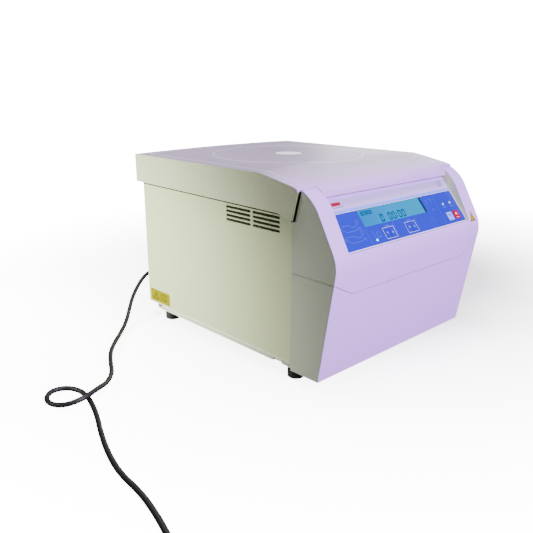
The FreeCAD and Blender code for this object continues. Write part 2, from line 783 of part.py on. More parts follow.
# ---- control panel -------------------------------------------------------------------
def control_panel():
    plate = box(-cheek_inner + 0.2, cheek_inner - 0.2, plate_foot - 0.2, plate_length,
                -plate_thick, 0)
    x0, x1, s0, s1 = lcd_box
    cuts = [box(x0 - 0.2, x1 + 0.2, s0 - 0.2, s1 + 0.2, -5, 5)]
    for x0, x1 in key_columns.values():
        cuts.append(box(x0 - key_gap, x1 + key_gap, key_row[0] - key_gap, key_row[1] + key_gap,
                        -5, 5))
    return on_panel(plate.cut(join(cuts)))


def panel_key(name):
    x0, x1 = key_columns[name]
    s0, s1 = key_row
    cap = box(x0, x1, s0, s1, -plate_thick - 1.4, key_proud)
    upright_edges = [e for e in cap.Edges if abs(e.BoundBox.ZLength) > 1]
    cap = cap.makeFillet(1.0, upright_edges)
    top = [e for e in cap.Edges if e.BoundBox.ZMin > key_proud - 0.01]
    return on_panel(cap.makeFillet(0.3, top))


def lcd_display():
    x0, x1, s0, s1 = lcd_box
    glass = box(x0, x1, s0, s1, -plate_thick, -0.3)
    module = box(x0 - 5, x1 + 5, s0 - 1.5, s1 + 0.2, -plate_thick - 6, -plate_thick)
    return on_panel(glass.fuse(module))


def control_board():
    board = box(-130, 146, 1, 56, -board_depth - 1.6, -board_depth)
    parts = [board]
    for x0, x1 in key_columns.values():
        mid_x, mid_s = (x0 + x1) / 2, sum(key_row) / 2
        parts.append(box(mid_x - 3, mid_x + 3, mid_s - 3, mid_s + 3, -board_depth, -4.2))
    x0, x1, s0, s1 = lcd_box
    for x in (x0, x1 - 4):
        parts.append(box(x, x + 4, (s0 + s1) / 2, (s0 + s1) / 2 + 4, -board_depth,
                         -plate_thick - 6))
    for x in (-118, 88):
        parts.append(box(x, x + 14, 34, 46, -board_depth - 6, -board_depth))
        parts.append(rod(3, vec(x + 7, 22, -board_depth), vec(x + 7, 22, -board_depth + 3)))
    return on_panel(join(parts))


def power_board():
    low = cover_bottom + shell_wall + tray_sheet
    board = box(-150, -20, -188, -140, low + 8, low + 9.6)
    posts = [upright(3, x, y, low, low + 8) for x in (-144, -26) for y in (-183, -158)]
    caps = [upright(9, -135 + i * 22, -176, low + 9.6, low + 40) for i in range(3)]
    coil = ring(13, 6, -50, -165, low + 9.6, low + 22)
    chip = box(-120, -90, -156, -146, low + 9.6, low + 30)
    return join([board, coil, chip] + posts + caps)


def heat_sink():
    low = cover_bottom + shell_wall + tray_sheet
    base = box(10, 100, -188, -158, low, low + 6)
    fins = [box(10, 100, -187 + i * 4.5, -185.5 + i * 4.5, low + 6, low + 34) for i in range(7)]
    return join([base] + fins)


# ---- rear fittings -------------------------------------------------------------------
def mains_inlet():
    w, h = inlet_mouth
    flange = box(inlet_x - 25, inlet_x + 25, rear_y, rear_y + 2.5, inlet_z - 14, inlet_z + 14)
    can = box(inlet_x - w / 2 - 1.8, inlet_x + w / 2 + 1.8, rear_y - inlet_depth - 4, rear_y + 1,
              inlet_z - h / 2 - 1.8, inlet_z + h / 2 + 1.8)
    mouth = box(inlet_x - w / 2, inlet_x + w / 2, rear_y - inlet_depth, rear_y + 5,
                inlet_z - h / 2, inlet_z + h / 2)
    body = join([flange, can]).cut(mouth)
    return join([body] + inlet_pins(0))


def inlet_pins(grow):
    return [box(inlet_x + dx - 1 - grow, inlet_x + dx + 1 + grow, rear_y - inlet_depth - 1,
                rear_y - 2 + grow, inlet_z + dz - 2 - grow, inlet_z + dz + 2 + grow)
            for dx, dz in ((-7, -2), (7, -2), (0, 2))]


def cord_connector():
    w, h = inlet_mouth
    tongue = box(inlet_x - w / 2 + 0.4, inlet_x + w / 2 - 0.4, rear_y - inlet_depth + 0.5,
                 rear_y + 4, inlet_z - h / 2 + 0.4, inlet_z + h / 2 - 0.4)
    tongue = tongue.cut(join(inlet_pins(0.3)))
    grip = Part.makeLoft([rect_wire(28, 20, rear_y + 3), rect_wire(27, 19, rear_y + 18),
                          rect_wire(17, 15, rear_y + 27)], True, True)
    relief = Part.makeCone(6.5, cord_radius, connector_end - rear_y - 26,
                           vec(inlet_x, rear_y + 26, inlet_z), vec(0, 1, 0))
    return join([tongue, grip, relief])


def rect_wire(width, tall, y):
    corners = [vec(inlet_x - width / 2, y, inlet_z - tall / 2),
               vec(inlet_x + width / 2, y, inlet_z - tall / 2),
               vec(inlet_x + width / 2, y, inlet_z + tall / 2),
               vec(inlet_x - width / 2, y, inlet_z + tall / 2)]
    return rounded_wire(corners, [4] * 4)


def switch_frame():
    w, h = rocker_size
    flange = box(switch_x - w / 2 - 3.5, switch_x + w / 2 + 3.5, rear_y, rear_y + 2,
                 switch_z - h / 2 - 3.5, switch_z + h / 2 + 3.5)
    can = box(switch_x - w / 2 - 1.2, switch_x + w / 2 + 1.2, rear_y - 16, rear_y + 1,
              switch_z - h / 2 - 1.2, switch_z + h / 2 + 1.2)
    mouth = box(switch_x - w / 2, switch_x + w / 2, rear_y - 12, rear_y + 5, switch_z - h / 2,
                switch_z + h / 2)
    return join([flange, can]).cut(mouth)


def power_rocker():
    """A see-saw cap that tips on the axis through its middle."""
    w, h = rocker_size[0] / 2 - loose_gap, rocker_size[1] / 2 - 1.2
    y, z = rear_y, switch_z
    return side_prism([(y - 6, z - 3), (y - 6, z + 3), (y - 1, z + h), (y + 1.8, z + h),
                       (y + 0.8, z), (y + 3.6, z - h), (y - 1, z - h)],
                      switch_x - w, switch_x + w)


def fan_frame():
    half = fan_size / 2
    back = rear_y - sheet
    blank = box(fan_x - half, fan_x + half, back - fan_depth, back, fan_z - half, fan_z + half)
    duct = rod(half - 3, vec(fan_x, back - fan_depth - 1, fan_z), vec(fan_x, back + 1, fan_z))
    hub = rod(15, vec(fan_x, back - fan_depth, fan_z), vec(fan_x, back - fan_depth + 4, fan_z))
    spokes = [box(-half + 1, half - 1, 0, 3, -2, 2) for _ in range(2)]
    for i, spoke in enumerate(spokes):
        spoke.rotate(vec(0, 0, 0), vec(0, 1, 0), 45 + 90 * i)
        spoke.translate(vec(fan_x, back - fan_depth, fan_z))
    pin = rod(2, vec(fan_x, back - fan_depth + 3, fan_z), vec(fan_x, back - fan_depth + 14, fan_z))
    return join([blank.cut(duct), hub, pin] + spokes)


def fan_impeller():
    back = rear_y - sheet
    y0, y1 = back - fan_depth + 5, back - 3
    hub = rod(14, vec(fan_x, y0, fan_z), vec(fan_x, y1, fan_z))
    bore = rod(2 + running_gap, vec(fan_x, y0 - 1, fan_z), vec(fan_x, y0 + 11, fan_z))
    blades = []
    for i in range(7):
        blade = box(12, fan_size / 2 - 5, -0.9, 0.9, -1, 17)
        blade.rotate(vec(0, 0, 0), vec(1, 0, 0), 38)
        blade.translate(vec(0, -3, 0))
        blade.rotate(vec(0, 0, 0), vec(0, 0, 1), i * 360 / 7)
        blade.rotate(vec(0, 0, 0), vec(1, 0, 0), -90)
        blade.translate(vec(fan_x, y0 + 1, fan_z))
        blades.append(blade)
    swept = rod(fan_size / 2 - 4.5, vec(fan_x, y0, fan_z), vec(fan_x, y1, fan_z))
    return join([hub] + blades).common(swept).cut(bore)


def fan_guard():
    y0, y1 = rear_y, rear_y + 2.4
    rings = []
    for radius in (12, 20, 28, 36):
        outer = rod(radius + 1, vec(fan_x, y0, fan_z), vec(fan_x, y1, fan_z))
        rings.append(outer.cut(rod(radius - 1, vec(fan_x, y0 - 1, fan_z),
                                   vec(fan_x, y1 + 1, fan_z))))
    for i in range(4):
        spoke = box(-1, 1, 0, y1 - y0, 10, 46)
        spoke.rotate(vec(0, 0, 0), vec(0, 1, 0), 45 + 90 * i)
        spoke.translate(vec(fan_x, y0, fan_z))
        rings.append(spoke)
    return join(rings)


def panel_screws():
    """Cross-headed screws that hold the rear panel on."""
    screws = []
    for x in (-half_body + 9, -20, 20, half_body - 9):
        for z in (40, 210):
            head = rod(3.4, vec(x, rear_y, z), vec(x, rear_y + 2, z))
            slot = join([box(x - 2, x + 2, rear_y + 1.2, rear_y + 3, z - 0.4, z + 0.4),
                         box(x - 0.4, x + 0.4, rear_y + 1.2, rear_y + 3, z - 2, z + 2)])
            screws.append(head.cut(slot))
    return group(screws)


# ---- mains lead ----------------------------------------------------------------------
def route_runs(points):
    """Straight runs joined by tangent arcs, each as large as its two runs allow."""
    edges, radii = [], []
    leave = points[0]
    for i in range(1, len(points) - 1):
        before, here, after = points[i - 1], points[i], points[i + 1]
        back, on = before - here, after - here
        setback = 0.45 * min(back.Length, on.Length)
        turn = math.pi - back.getAngle(on)
        radii.append(setback / math.tan(turn / 2))
        back.normalize()
        on.normalize()
        first, last = here + back * setback, here + on * setback
        half_angle = back.getAngle(on) / 2
        middle = here + (back + on).normalize() * (radii[-1] / math.sin(half_angle) - radii[-1])
        edges.append(Part.LineSegment(leave, first).toShape())
        edges.append(Part.Arc(first, middle, last).toShape())
        leave = last
    edges.append(Part.LineSegment(leave, points[-1]).toShape())
    return Part.Wire(edges), radii


def power_cord():
    points = [vec(*p) for p in route]
    path, radii = route_runs(points)
    start = Part.Wire(Part.makeCircle(cord_radius, points[0], points[1] - points[0]))
    tube = path.makePipeShell([start], True, True)
    expected = math.pi * cord_radius ** 2 * path.Length
    print("cord length", round(path.Length), "radii", [round(r) for r in radii])
    print("cord volume", round(tube.Volume), "section x length", round(expected))
    return tube


def coil_track():
    """Radius of the outer turns' middle line."""
    return coil_radius + cord_radius - 0.6


def coil_centre():
    x, y, _ = route[-1]
    return x - coil_track(), y


def cord_coil():
    x, y = coil_centre()
    return ring(coil_track() + cord_radius, coil_track() - 3 * cord_radius, x, y, 0,
                coil_layers * 2 * cord_radius)


def mains_plug():
    """A plug on the floor beside the coil, in line with the end of the last turn."""
    x, y, _ = route[-1]
    axis = coil_layers * 2 * cord_radius - cord_radius
    tail = y - 16
    cone = Part.makeCone(cord_radius, 6.5, 30, vec(x, tail, axis), vec(0, -1, 0))
    body = box(x - 14, x + 14, tail - 64, tail - 28, axis - 10.5, axis + 10.5)
    edges = [e for e in body.Edges if e.BoundBox.YLength > 20]
    body = body.makeFillet(5, edges)
    pins = [rod(2.3, vec(x + dx, tail - 60, axis), vec(x + dx, tail - 82, axis))
            for dx in (-9.5, 9.5)]
    return join([body, cone] + pins)


def build():
    cover = lid_cover()
    nodes = {
        "base_plate": base_plate(),
        "right_side_panel": side_panel(),
        "left_side_panel": mirrored(side_panel()),
        "rear_panel": rear_panel(),
        "top_deck": top_deck(),
        "front_cover_upper": front_cover_upper(),
        "front_cover_lower": front_cover_lower(),
        "rubber_feet": rubber_feet(),
        "chamber_bowl": chamber_bowl(),
        "chamber_seal": chamber_seal(),
        "guard_ring": guard_ring(),
        "motor_mount_plate": motor_mount_plate(),
        "motor_dampers": motor_dampers(),
        "motor_housing": motor_housing(),
        "lower_bearing": bearing(motor_low + motor_wall),
        "upper_bearing": bearing(motor_high - motor_wall - bearing_height),
        "stator_core": stator_core(),
        "stator_windings": stator_windings(),
        "motor_rotor": motor_rotor(),
        "rotor_shaft": rotor_shaft(),
        "rotor_yoke": rotor_yoke(),
        "rotor_nut": rotor_nut(),
        "lid_cover": cover,
        "lid_liner": lid_liner(cover),
        "lid_window": lid_window(),
        "window_frame": window_frame(cover),
        "hinge_arms": group([hinge_arm(hinge_x), hinge_arm(-hinge_x)]),
        "hinge_brackets": group([hinge_bracket(hinge_x), hinge_bracket(-hinge_x)]),
        "hinge_pins": group([hinge_pin(hinge_x), hinge_pin(-hinge_x)]),
        "lid_springs": group([lid_spring(hinge_x), lid_spring(-hinge_x)]),
        "lid_strikers": lid_strikers(),
        "latch_hooks": latch_hooks(),
        "latch_motor": latch_motor(),
        "control_panel": control_panel(),
        "lcd_display": lcd_display(),
        "control_board": control_board(),
        "power_board": power_board(),
        "heat_sink": heat_sink(),
        "mains_inlet": mains_inlet(),
        "switch_frame": switch_frame(),
        "power_rocker": power_rocker(),
        "fan_frame": fan_frame(),
        "fan_impeller": fan_impeller(),
        "fan_guard": fan_guard(),
        "panel_screws": panel_screws(),
        "cord_connector": cord_connector(),
        "power_cord": power_cord(),
        "cord_coil": cord_coil(),
        "mains_plug": mains_plug(),
    }
    for index in range(4):
        nodes["bucket_%d" % (index + 1)] = bucket(index)
    for name in key_columns:
        nodes[name] = panel_key(name)
    return nodes


os.makedirs("parts", exist_ok=True)
for node, shape in build().items():
    if not shape.isValid():
        print("not valid:", node)
    b = shape.BoundBox
    print("%-20s solids %d  x %.1f %.1f  y %.1f %.1f  z %.1f %.1f" % (
        node, len(shape.Solids), b.XMin, b.XMax, b.YMin, b.YMax, b.ZMin, b.ZMax))
    shape.exportStep("parts/%s.step" % node)
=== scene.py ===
import json
import math
import bpy
import bmesh
from mathutils import Matrix, Vector
from mathutils.bvhtree import BVHTree


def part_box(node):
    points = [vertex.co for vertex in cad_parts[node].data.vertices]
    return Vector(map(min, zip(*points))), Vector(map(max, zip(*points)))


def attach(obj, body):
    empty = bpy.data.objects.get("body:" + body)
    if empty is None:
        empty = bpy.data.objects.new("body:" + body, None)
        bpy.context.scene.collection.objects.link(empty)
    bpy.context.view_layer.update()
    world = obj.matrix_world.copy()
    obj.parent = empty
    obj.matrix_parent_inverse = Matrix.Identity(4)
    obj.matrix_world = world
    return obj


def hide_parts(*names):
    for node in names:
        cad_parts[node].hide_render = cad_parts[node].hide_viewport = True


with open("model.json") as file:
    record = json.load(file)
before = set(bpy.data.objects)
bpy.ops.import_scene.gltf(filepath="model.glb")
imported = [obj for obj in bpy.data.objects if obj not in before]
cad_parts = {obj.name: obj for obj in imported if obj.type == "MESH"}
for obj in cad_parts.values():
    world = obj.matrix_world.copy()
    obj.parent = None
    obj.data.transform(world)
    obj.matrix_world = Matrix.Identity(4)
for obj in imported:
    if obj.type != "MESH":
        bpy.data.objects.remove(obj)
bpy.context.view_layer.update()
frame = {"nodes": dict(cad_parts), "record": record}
nodes = frame["nodes"]
print("frame loaded,", len(nodes), "parts")

mm = 0.001


def tone(red, green, blue, alpha=1.0):
    # screen colour, 0 to 255, to the linear values that shaders take
    def curve(c):
        c = c / 255
        return c / 12.92 if c <= 0.04045 else ((c + 0.055) / 1.055) ** 2.4
    return (curve(red), curve(green), curve(blue), alpha)


cameraPlace = {"eye": (-0.7706, -0.7263, 0.4215), "tilt": 73.24, "turn": -43.14, "lens": 41.25,
               "sensor": 36, "farClip": 20}


def addCamera(v):
    data = bpy.data.cameras.new("camera")
    data.lens = v["lens"]
    data.sensor_width = v["sensor"]
    data.clip_end = v["farClip"]
    cam = bpy.data.objects.new("camera", data)
    cam.location = v["eye"]
    cam.rotation_euler = (math.radians(v["tilt"]), 0, math.radians(v["turn"]))
    bpy.context.collection.objects.link(cam)
    bpy.context.scene.camera = cam


addCamera(cameraPlace)


def newPiece(name, mesh, body="housing", smooth=True):
    piece = bpy.data.objects.new(name, mesh)
    bpy.context.collection.objects.link(piece)
    for face in mesh.polygons:
        face.use_smooth = smooth
    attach(piece, body)
    return piece


def meshFrom(bm, name):
    mesh = bpy.data.meshes.new(name)
    bmesh.ops.recalc_face_normals(bm, faces=bm.faces)
    bm.to_mesh(mesh)
    bm.free()
    return mesh


def bevel(piece, width, segments=3, angle=35):
    mod = piece.modifiers.new("soft edges", "BEVEL")
    mod.width = width
    mod.segments = segments
    mod.limit_method = "ANGLE"
    mod.angle_limit = math.radians(angle)
    mod.harden_normals = True
    mod.use_clamp_overlap = True


cordRoute = {
    "diameter": 7.2 * mm,
    "points": [
        (-112, 271, 60), (-112, 289, 60), (-121, 303, 56), (-140, 303, 50), (-163, 288, 44),
        (-190, 264, 37), (-214, 240, 29), (-234, 218, 17), (-254, 196, 7), (-284, 165, 3.6),
        (-314, 134, 3.6), (-335, 108, 3.6), (-353, 76, 3.6), (-369, 42, 3.6), (-392, 15, 5),
        (-418, -5, 12.5), (-446, -18, 12.5), (-468, -9, 7), (-479, 12, 3.6), (-477, 34, 3.6),
        (-462, 49, 3.6), (-443, 45, 3.6), (-432, 27, 3.6), (-431, 3, 3.6), (-437, -24, 3.6),
        (-447, -56, 3.6), (-463, -95, 3.6), (-478, -138, 3.6), (-489, -185, 3.6),
        (-490, -232, 3.6), (-498, -276, 3.6), (-509, -316, 3.6), (-510, -352, 3.6),
    ],
    "coilRadius": 41.0,
    "turnPoints": 16,
    "stepOver": 0.7,  # share of a turn after which it moves across to the next one
    "tailRun": (-16, -34),
}


def coilPoints(v):
    # four turns: outer and inner on the floor, then inner and outer on top of them
    lead = v["diameter"] / mm
    startX, startY, low = v["points"][-1]
    centreX = startX - v["coilRadius"]
    tracks = [(v["coilRadius"], low), (v["coilRadius"] - lead, low),
              (v["coilRadius"] - lead, low + lead), (v["coilRadius"], low + lead)]
    points = []
    count = v["turnPoints"]
    bulge = 2 / (1 + math.cos(math.pi / count))
    for turn, (radius, height) in enumerate(tracks):
        nextRadius, nextHeight = tracks[min(turn + 1, len(tracks) - 1)]
        for step in range(1, count + 1):
            blend = max(0, (step / count - v["stepOver"]) / (1 - v["stepOver"]))
            r = (radius + (nextRadius - radius) * blend) * bulge
            z = height + (nextHeight - height) * blend
            angle = -2 * math.pi * step / count
            points.append((centreX + r * math.cos(angle), startY + r * math.sin(angle), z))
    top = low + lead
    points += [(startX, startY + dy, top) for dy in v["tailRun"]]
    return points


def addCord(v):
    data = bpy.data.curves.new("mains_lead", "CURVE")
    data.dimensions = "3D"
    data.bevel_depth = 1.0  # each point's own radius carries the thickness
    data.bevel_resolution = 6
    data.resolution_u = 10
    data.use_fill_caps = True
    points = v["points"] + coilPoints(v)
    spline = data.splines.new("NURBS")
    spline.points.add(len(points) - 1)
    for slot, (x, y, z) in zip(spline.points, points):
        slot.co = (x * mm, y * mm, z * mm, 1)
        slot.radius = v["diameter"] / 2
    spline.order_u = 3
    spline.use_endpoint_u = True
    spline.use_smooth = True
    cord = bpy.data.objects.new("mains_lead", data)
    bpy.context.collection.objects.link(cord)
    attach(cord, "housing")
    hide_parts("power_cord", "cord_coil")
    return cord


cord = addCord(cordRoute)
print("camera and mains lead made")


def groupShell(name, inputs, outputs):
    group = bpy.data.node_groups.new(name, "ShaderNodeTree")
    for label, kind, default in inputs:
        socket = group.interface.new_socket(label, in_out="INPUT", socket_type=kind)
        socket.default_value = default
    for label, kind in outputs:
        group.interface.new_socket(label, in_out="OUTPUT", socket_type=kind)
    enter = group.nodes.new("NodeGroupInput")
    leave = group.nodes.new("NodeGroupOutput")
    return group, enter, leave


def addNode(tree, kind, **values):
    node = tree.nodes.new(kind)
    for key, value in values.items():
        if hasattr(node, key):
            setattr(node, key, value)
        else:
            node.inputs[key.replace("_", " ")].default_value = value
    return node


def makeTextureGrain():
    # fine orange-peel of a powder coat or a moulded skin, with slow drift in colour
    group, enter, leave = groupShell("texture grain", [
        ("Color", "NodeSocketColor", (0.8, 0.8, 0.8, 1)), ("Drift", "NodeSocketFloat", 0.04),
        ("Speckle", "NodeSocketFloat", 0.05), ("Scale", "NodeSocketFloat", 900.0),
        ("Roughness", "NodeSocketFloat", 0.5)],
        [("Color", "NodeSocketColor"), ("Roughness", "NodeSocketFloat"), ("Height", "NodeSocketFloat")])
    link = group.links.new
    place = addNode(group, "ShaderNodeTexCoord")
    fine = addNode(group, "ShaderNodeTexNoise", Detail=3.0, Roughness=0.6)
    slow = addNode(group, "ShaderNodeTexNoise", Scale=6.0, Detail=2.0)
    link(place.outputs["Object"], fine.inputs["Vector"])
    link(place.outputs["Object"], slow.inputs["Vector"])
    link(enter.outputs["Scale"], fine.inputs["Scale"])
    fineSpan = addNode(group, "ShaderNodeMapRange", From_Min=0.3, From_Max=0.7, To_Min=-1.0)
    slowSpan = addNode(group, "ShaderNodeMapRange", From_Min=0.3, From_Max=0.7, To_Min=-1.0)
    link(fine.outputs["Fac"], fineSpan.inputs["Value"])
    link(slow.outputs["Fac"], slowSpan.inputs["Value"])
    fineMul = addNode(group, "ShaderNodeMath", operation="MULTIPLY")
    slowMul = addNode(group, "ShaderNodeMath", operation="MULTIPLY")
    link(fineSpan.outputs[0], fineMul.inputs[0])
    link(enter.outputs["Speckle"], fineMul.inputs[1])
    link(slowSpan.outputs[0], slowMul.inputs[0])
    link(enter.outputs["Drift"], slowMul.inputs[1])
    total = addNode(group, "ShaderNodeMath", operation="ADD")
    link(fineMul.outputs[0], total.inputs[0])
    link(slowMul.outputs[0], total.inputs[1])
    lift = addNode(group, "ShaderNodeMath", operation="ADD")
    link(total.outputs[0], lift.inputs[0])
    lift.inputs[1].default_value = 1.0
    shade = addNode(group, "ShaderNodeVectorMath", operation="SCALE")
    link(enter.outputs["Color"], shade.inputs[0])
    link(lift.outputs[0], shade.inputs["Scale"])
    link(shade.outputs[0], leave.inputs["Color"])
    rough = addNode(group, "ShaderNodeMath", operation="MULTIPLY_ADD")
    link(total.outputs[0], rough.inputs[0])
    rough.inputs[1].default_value = 0.6
    link(enter.outputs["Roughness"], rough.inputs[2])
    link(rough.outputs[0], leave.inputs["Roughness"])
    link(fine.outputs["Fac"], leave.inputs["Height"])
    return group


def makeHandling():
    # faint dust and scuffs that gather low on the machine and in soft patches
    group, enter, leave = groupShell("handling", [
        ("Color", "NodeSocketColor", (0.8, 0.8, 0.8, 1)), ("Dust", "NodeSocketColor", (0.4, 0.38, 0.34, 1)),
        ("Amount", "NodeSocketFloat", 0.15), ("Reach", "NodeSocketFloat", 0.06)],
        [("Color", "NodeSocketColor")])
    link = group.links.new
    place = addNode(group, "ShaderNodeTexCoord")
    split = addNode(group, "ShaderNodeSeparateXYZ")
    link(place.outputs["Object"], split.inputs[0])
    low = addNode(group, "ShaderNodeMapRange", To_Min=1.0, To_Max=0.0)
    link(split.outputs["Z"], low.inputs["Value"])
    link(enter.outputs["Reach"], low.inputs["From Max"])
    patch = addNode(group, "ShaderNodeTexNoise", Scale=35.0, Detail=4.0)
    link(place.outputs["Object"], patch.inputs["Vector"])
    span = addNode(group, "ShaderNodeMapRange", From_Min=0.35, From_Max=0.75)
    link(patch.outputs["Fac"], span.inputs["Value"])
    both = addNode(group, "ShaderNodeMath", operation="MULTIPLY")
    link(low.outputs[0], both.inputs[0])
    link(span.outputs[0], both.inputs[1])
    amount = addNode(group, "ShaderNodeMath", operation="MULTIPLY")
    link(both.outputs[0], amount.inputs[0])
    link(enter.outputs["Amount"], amount.inputs[1])
    mix = addNode(group, "ShaderNodeMix", data_type="RGBA")
    link(amount.outputs[0], mix.inputs[0])
    link(enter.outputs["Color"], mix.inputs[6])
    link(enter.outputs["Dust"], mix.inputs[7])
    link(mix.outputs[2], leave.inputs["Color"])
    return group


def makeEdgeRub():
    # polished, slightly lighter edges
    group, enter, leave = groupShell("edge rub", [
        ("Color", "NodeSocketColor", (0.8, 0.8, 0.8, 1)), ("Rub Color", "NodeSocketColor", (1, 1, 1, 1)),
        ("Amount", "NodeSocketFloat", 0.3)], [("Color", "NodeSocketColor")])
    link = group.links.new
    shape = addNode(group, "ShaderNodeNewGeometry")
    span = addNode(group, "ShaderNodeMapRange", From_Min=0.53, From_Max=0.62)
    link(shape.outputs["Pointiness"], span.inputs["Value"])
    amount = addNode(group, "ShaderNodeMath", operation="MULTIPLY")
    link(span.outputs[0], amount.inputs[0])
    link(enter.outputs["Amount"], amount.inputs[1])
    mix = addNode(group, "ShaderNodeMix", data_type="RGBA")
    link(amount.outputs[0], mix.inputs[0])
    link(enter.outputs["Color"], mix.inputs[6])
    link(enter.outputs["Rub Color"], mix.inputs[7])
    link(mix.outputs[2], leave.inputs["Color"])
    return group


def makePaintedLightTone():
    # painted coloured light: upright sides and back faces take a greener tint, as under a warm side lamp, and
    # the front and top faces a cooler one that turns lilac toward the front, as under a lilac front lamp
    group, enter, leave = groupShell("side tone", [
        ("Face Color", "NodeSocketColor", (0.8, 0.8, 0.8, 1)),
        ("Side Color", "NodeSocketColor", (0.8, 0.8, 0.8, 1)),
        ("Front Color", "NodeSocketColor", (0.8, 0.8, 0.8, 1)), ("Front Start", "NodeSocketFloat", -0.1),
        ("Front End", "NodeSocketFloat", -0.18)], [("Color", "NodeSocketColor")])
    link = group.links.new
    place = addNode(group, "ShaderNodeTexCoord")
    split = addNode(group, "ShaderNodeSeparateXYZ")
    link(place.outputs["Normal"], split.inputs[0])
    across = addNode(group, "ShaderNodeMath", operation="ABSOLUTE")
    link(split.outputs["X"], across.inputs[0])
    rear = addNode(group, "ShaderNodeMath", operation="MAXIMUM")
    link(across.outputs[0], rear.inputs[0])
    link(split.outputs["Y"], rear.inputs[1])
    turned = addNode(group, "ShaderNodeMapRange", From_Min=0.5, From_Max=0.85)
    link(rear.outputs[0], turned.inputs["Value"])
    spot = addNode(group, "ShaderNodeSeparateXYZ")
    link(place.outputs["Object"], spot.inputs[0])
    front = addNode(group, "ShaderNodeMapRange")
    link(spot.outputs["Y"], front.inputs["Value"])
    link(enter.outputs["Front Start"], front.inputs["From Min"])
    link(enter.outputs["Front End"], front.inputs["From Max"])
    along = addNode(group, "ShaderNodeMix", data_type="RGBA")
    link(front.outputs[0], along.inputs[0])
    link(enter.outputs["Face Color"], along.inputs[6])
    link(enter.outputs["Front Color"], along.inputs[7])
    around = addNode(group, "ShaderNodeMix", data_type="RGBA")
    link(turned.outputs[0], around.inputs[0])
    link(along.outputs[2], around.inputs[6])
    link(enter.outputs["Side Color"], around.inputs[7])
    link(around.outputs[2], leave.inputs["Color"])
    return group


textureGrain = makeTextureGrain()
handling = makeHandling()
edgeRub = makeEdgeRub()
paintedLightTone = makePaintedLightTone()


def placeGroup(tree, group, **values):
    node = tree.nodes.new("ShaderNodeGroup")
    node.node_tree = group
    for key, value in values.items():
        node.inputs[key.replace("_", " ")].default_value = value
    return node


# what a finish has unless its own entry says otherwise
plainFinish = dict(drift=0.02, speckle=0.03, scale=900.0, dust=0.0, dustReach=0.05, rub=0.2, bump=0.2,
                   bumpDepth=0.0002, metallic=0.0, specular=0.5, coat=0.0, coatRoughness=0.15, glow=0.0)


def finish(name, values):
    # one coated or moulded surface: grain, drift, handling, edge rub and bump
    v = {**plainFinish, **values}
    mat = bpy.data.materials.new(name)
    mat.use_nodes = True
    tree = mat.node_tree
    shader = tree.nodes["Principled BSDF"]
    grain = placeGroup(tree, textureGrain, Color=v["color"], Drift=v["drift"], Speckle=v["speckle"],
                       Scale=v["scale"], Roughness=v["roughness"])
    dust = placeGroup(tree, handling, Amount=v["dust"], Reach=v["dustReach"])
    rub = placeGroup(tree, edgeRub, Amount=v["rub"], Rub_Color=v.get("rubColor", v["color"]))
    # painted coloured light: the surface tint changes with the way it faces and with how far forward it is
    if "side" in v:
        paintedLight = placeGroup(tree, paintedLightTone, Face_Color=v["color"], Side_Color=v["side"],
                            Front_Color=v.get("front", v["color"]))
        tree.links.new(paintedLight.outputs["Color"], grain.inputs["Color"])
    tree.links.new(grain.outputs["Color"], dust.inputs["Color"])
    tree.links.new(dust.outputs["Color"], rub.inputs["Color"])
    tree.links.new(rub.outputs["Color"], shader.inputs["Base Color"])
    tree.links.new(grain.outputs["Roughness"], shader.inputs["Roughness"])
    bump = addNode(tree, "ShaderNodeBump", Strength=v["bump"], Distance=v["bumpDepth"])
    tree.links.new(grain.outputs["Height"], bump.inputs["Height"])
    tree.links.new(bump.outputs["Normal"], shader.inputs["Normal"])
    if v["metallic"]:
        shader.inputs["Metallic"].default_value = v["metallic"]
    shader.inputs["Specular IOR Level"].default_value = v["specular"]
    shader.inputs["Coat Weight"].default_value = v["coat"]
    shader.inputs["Coat Roughness"].default_value = v["coatRoughness"]
    if v["glow"]:
        shader.inputs["Emission Color"].default_value = v["color"]
        shader.inputs["Emission Strength"].default_value = v["glow"]
    return mat
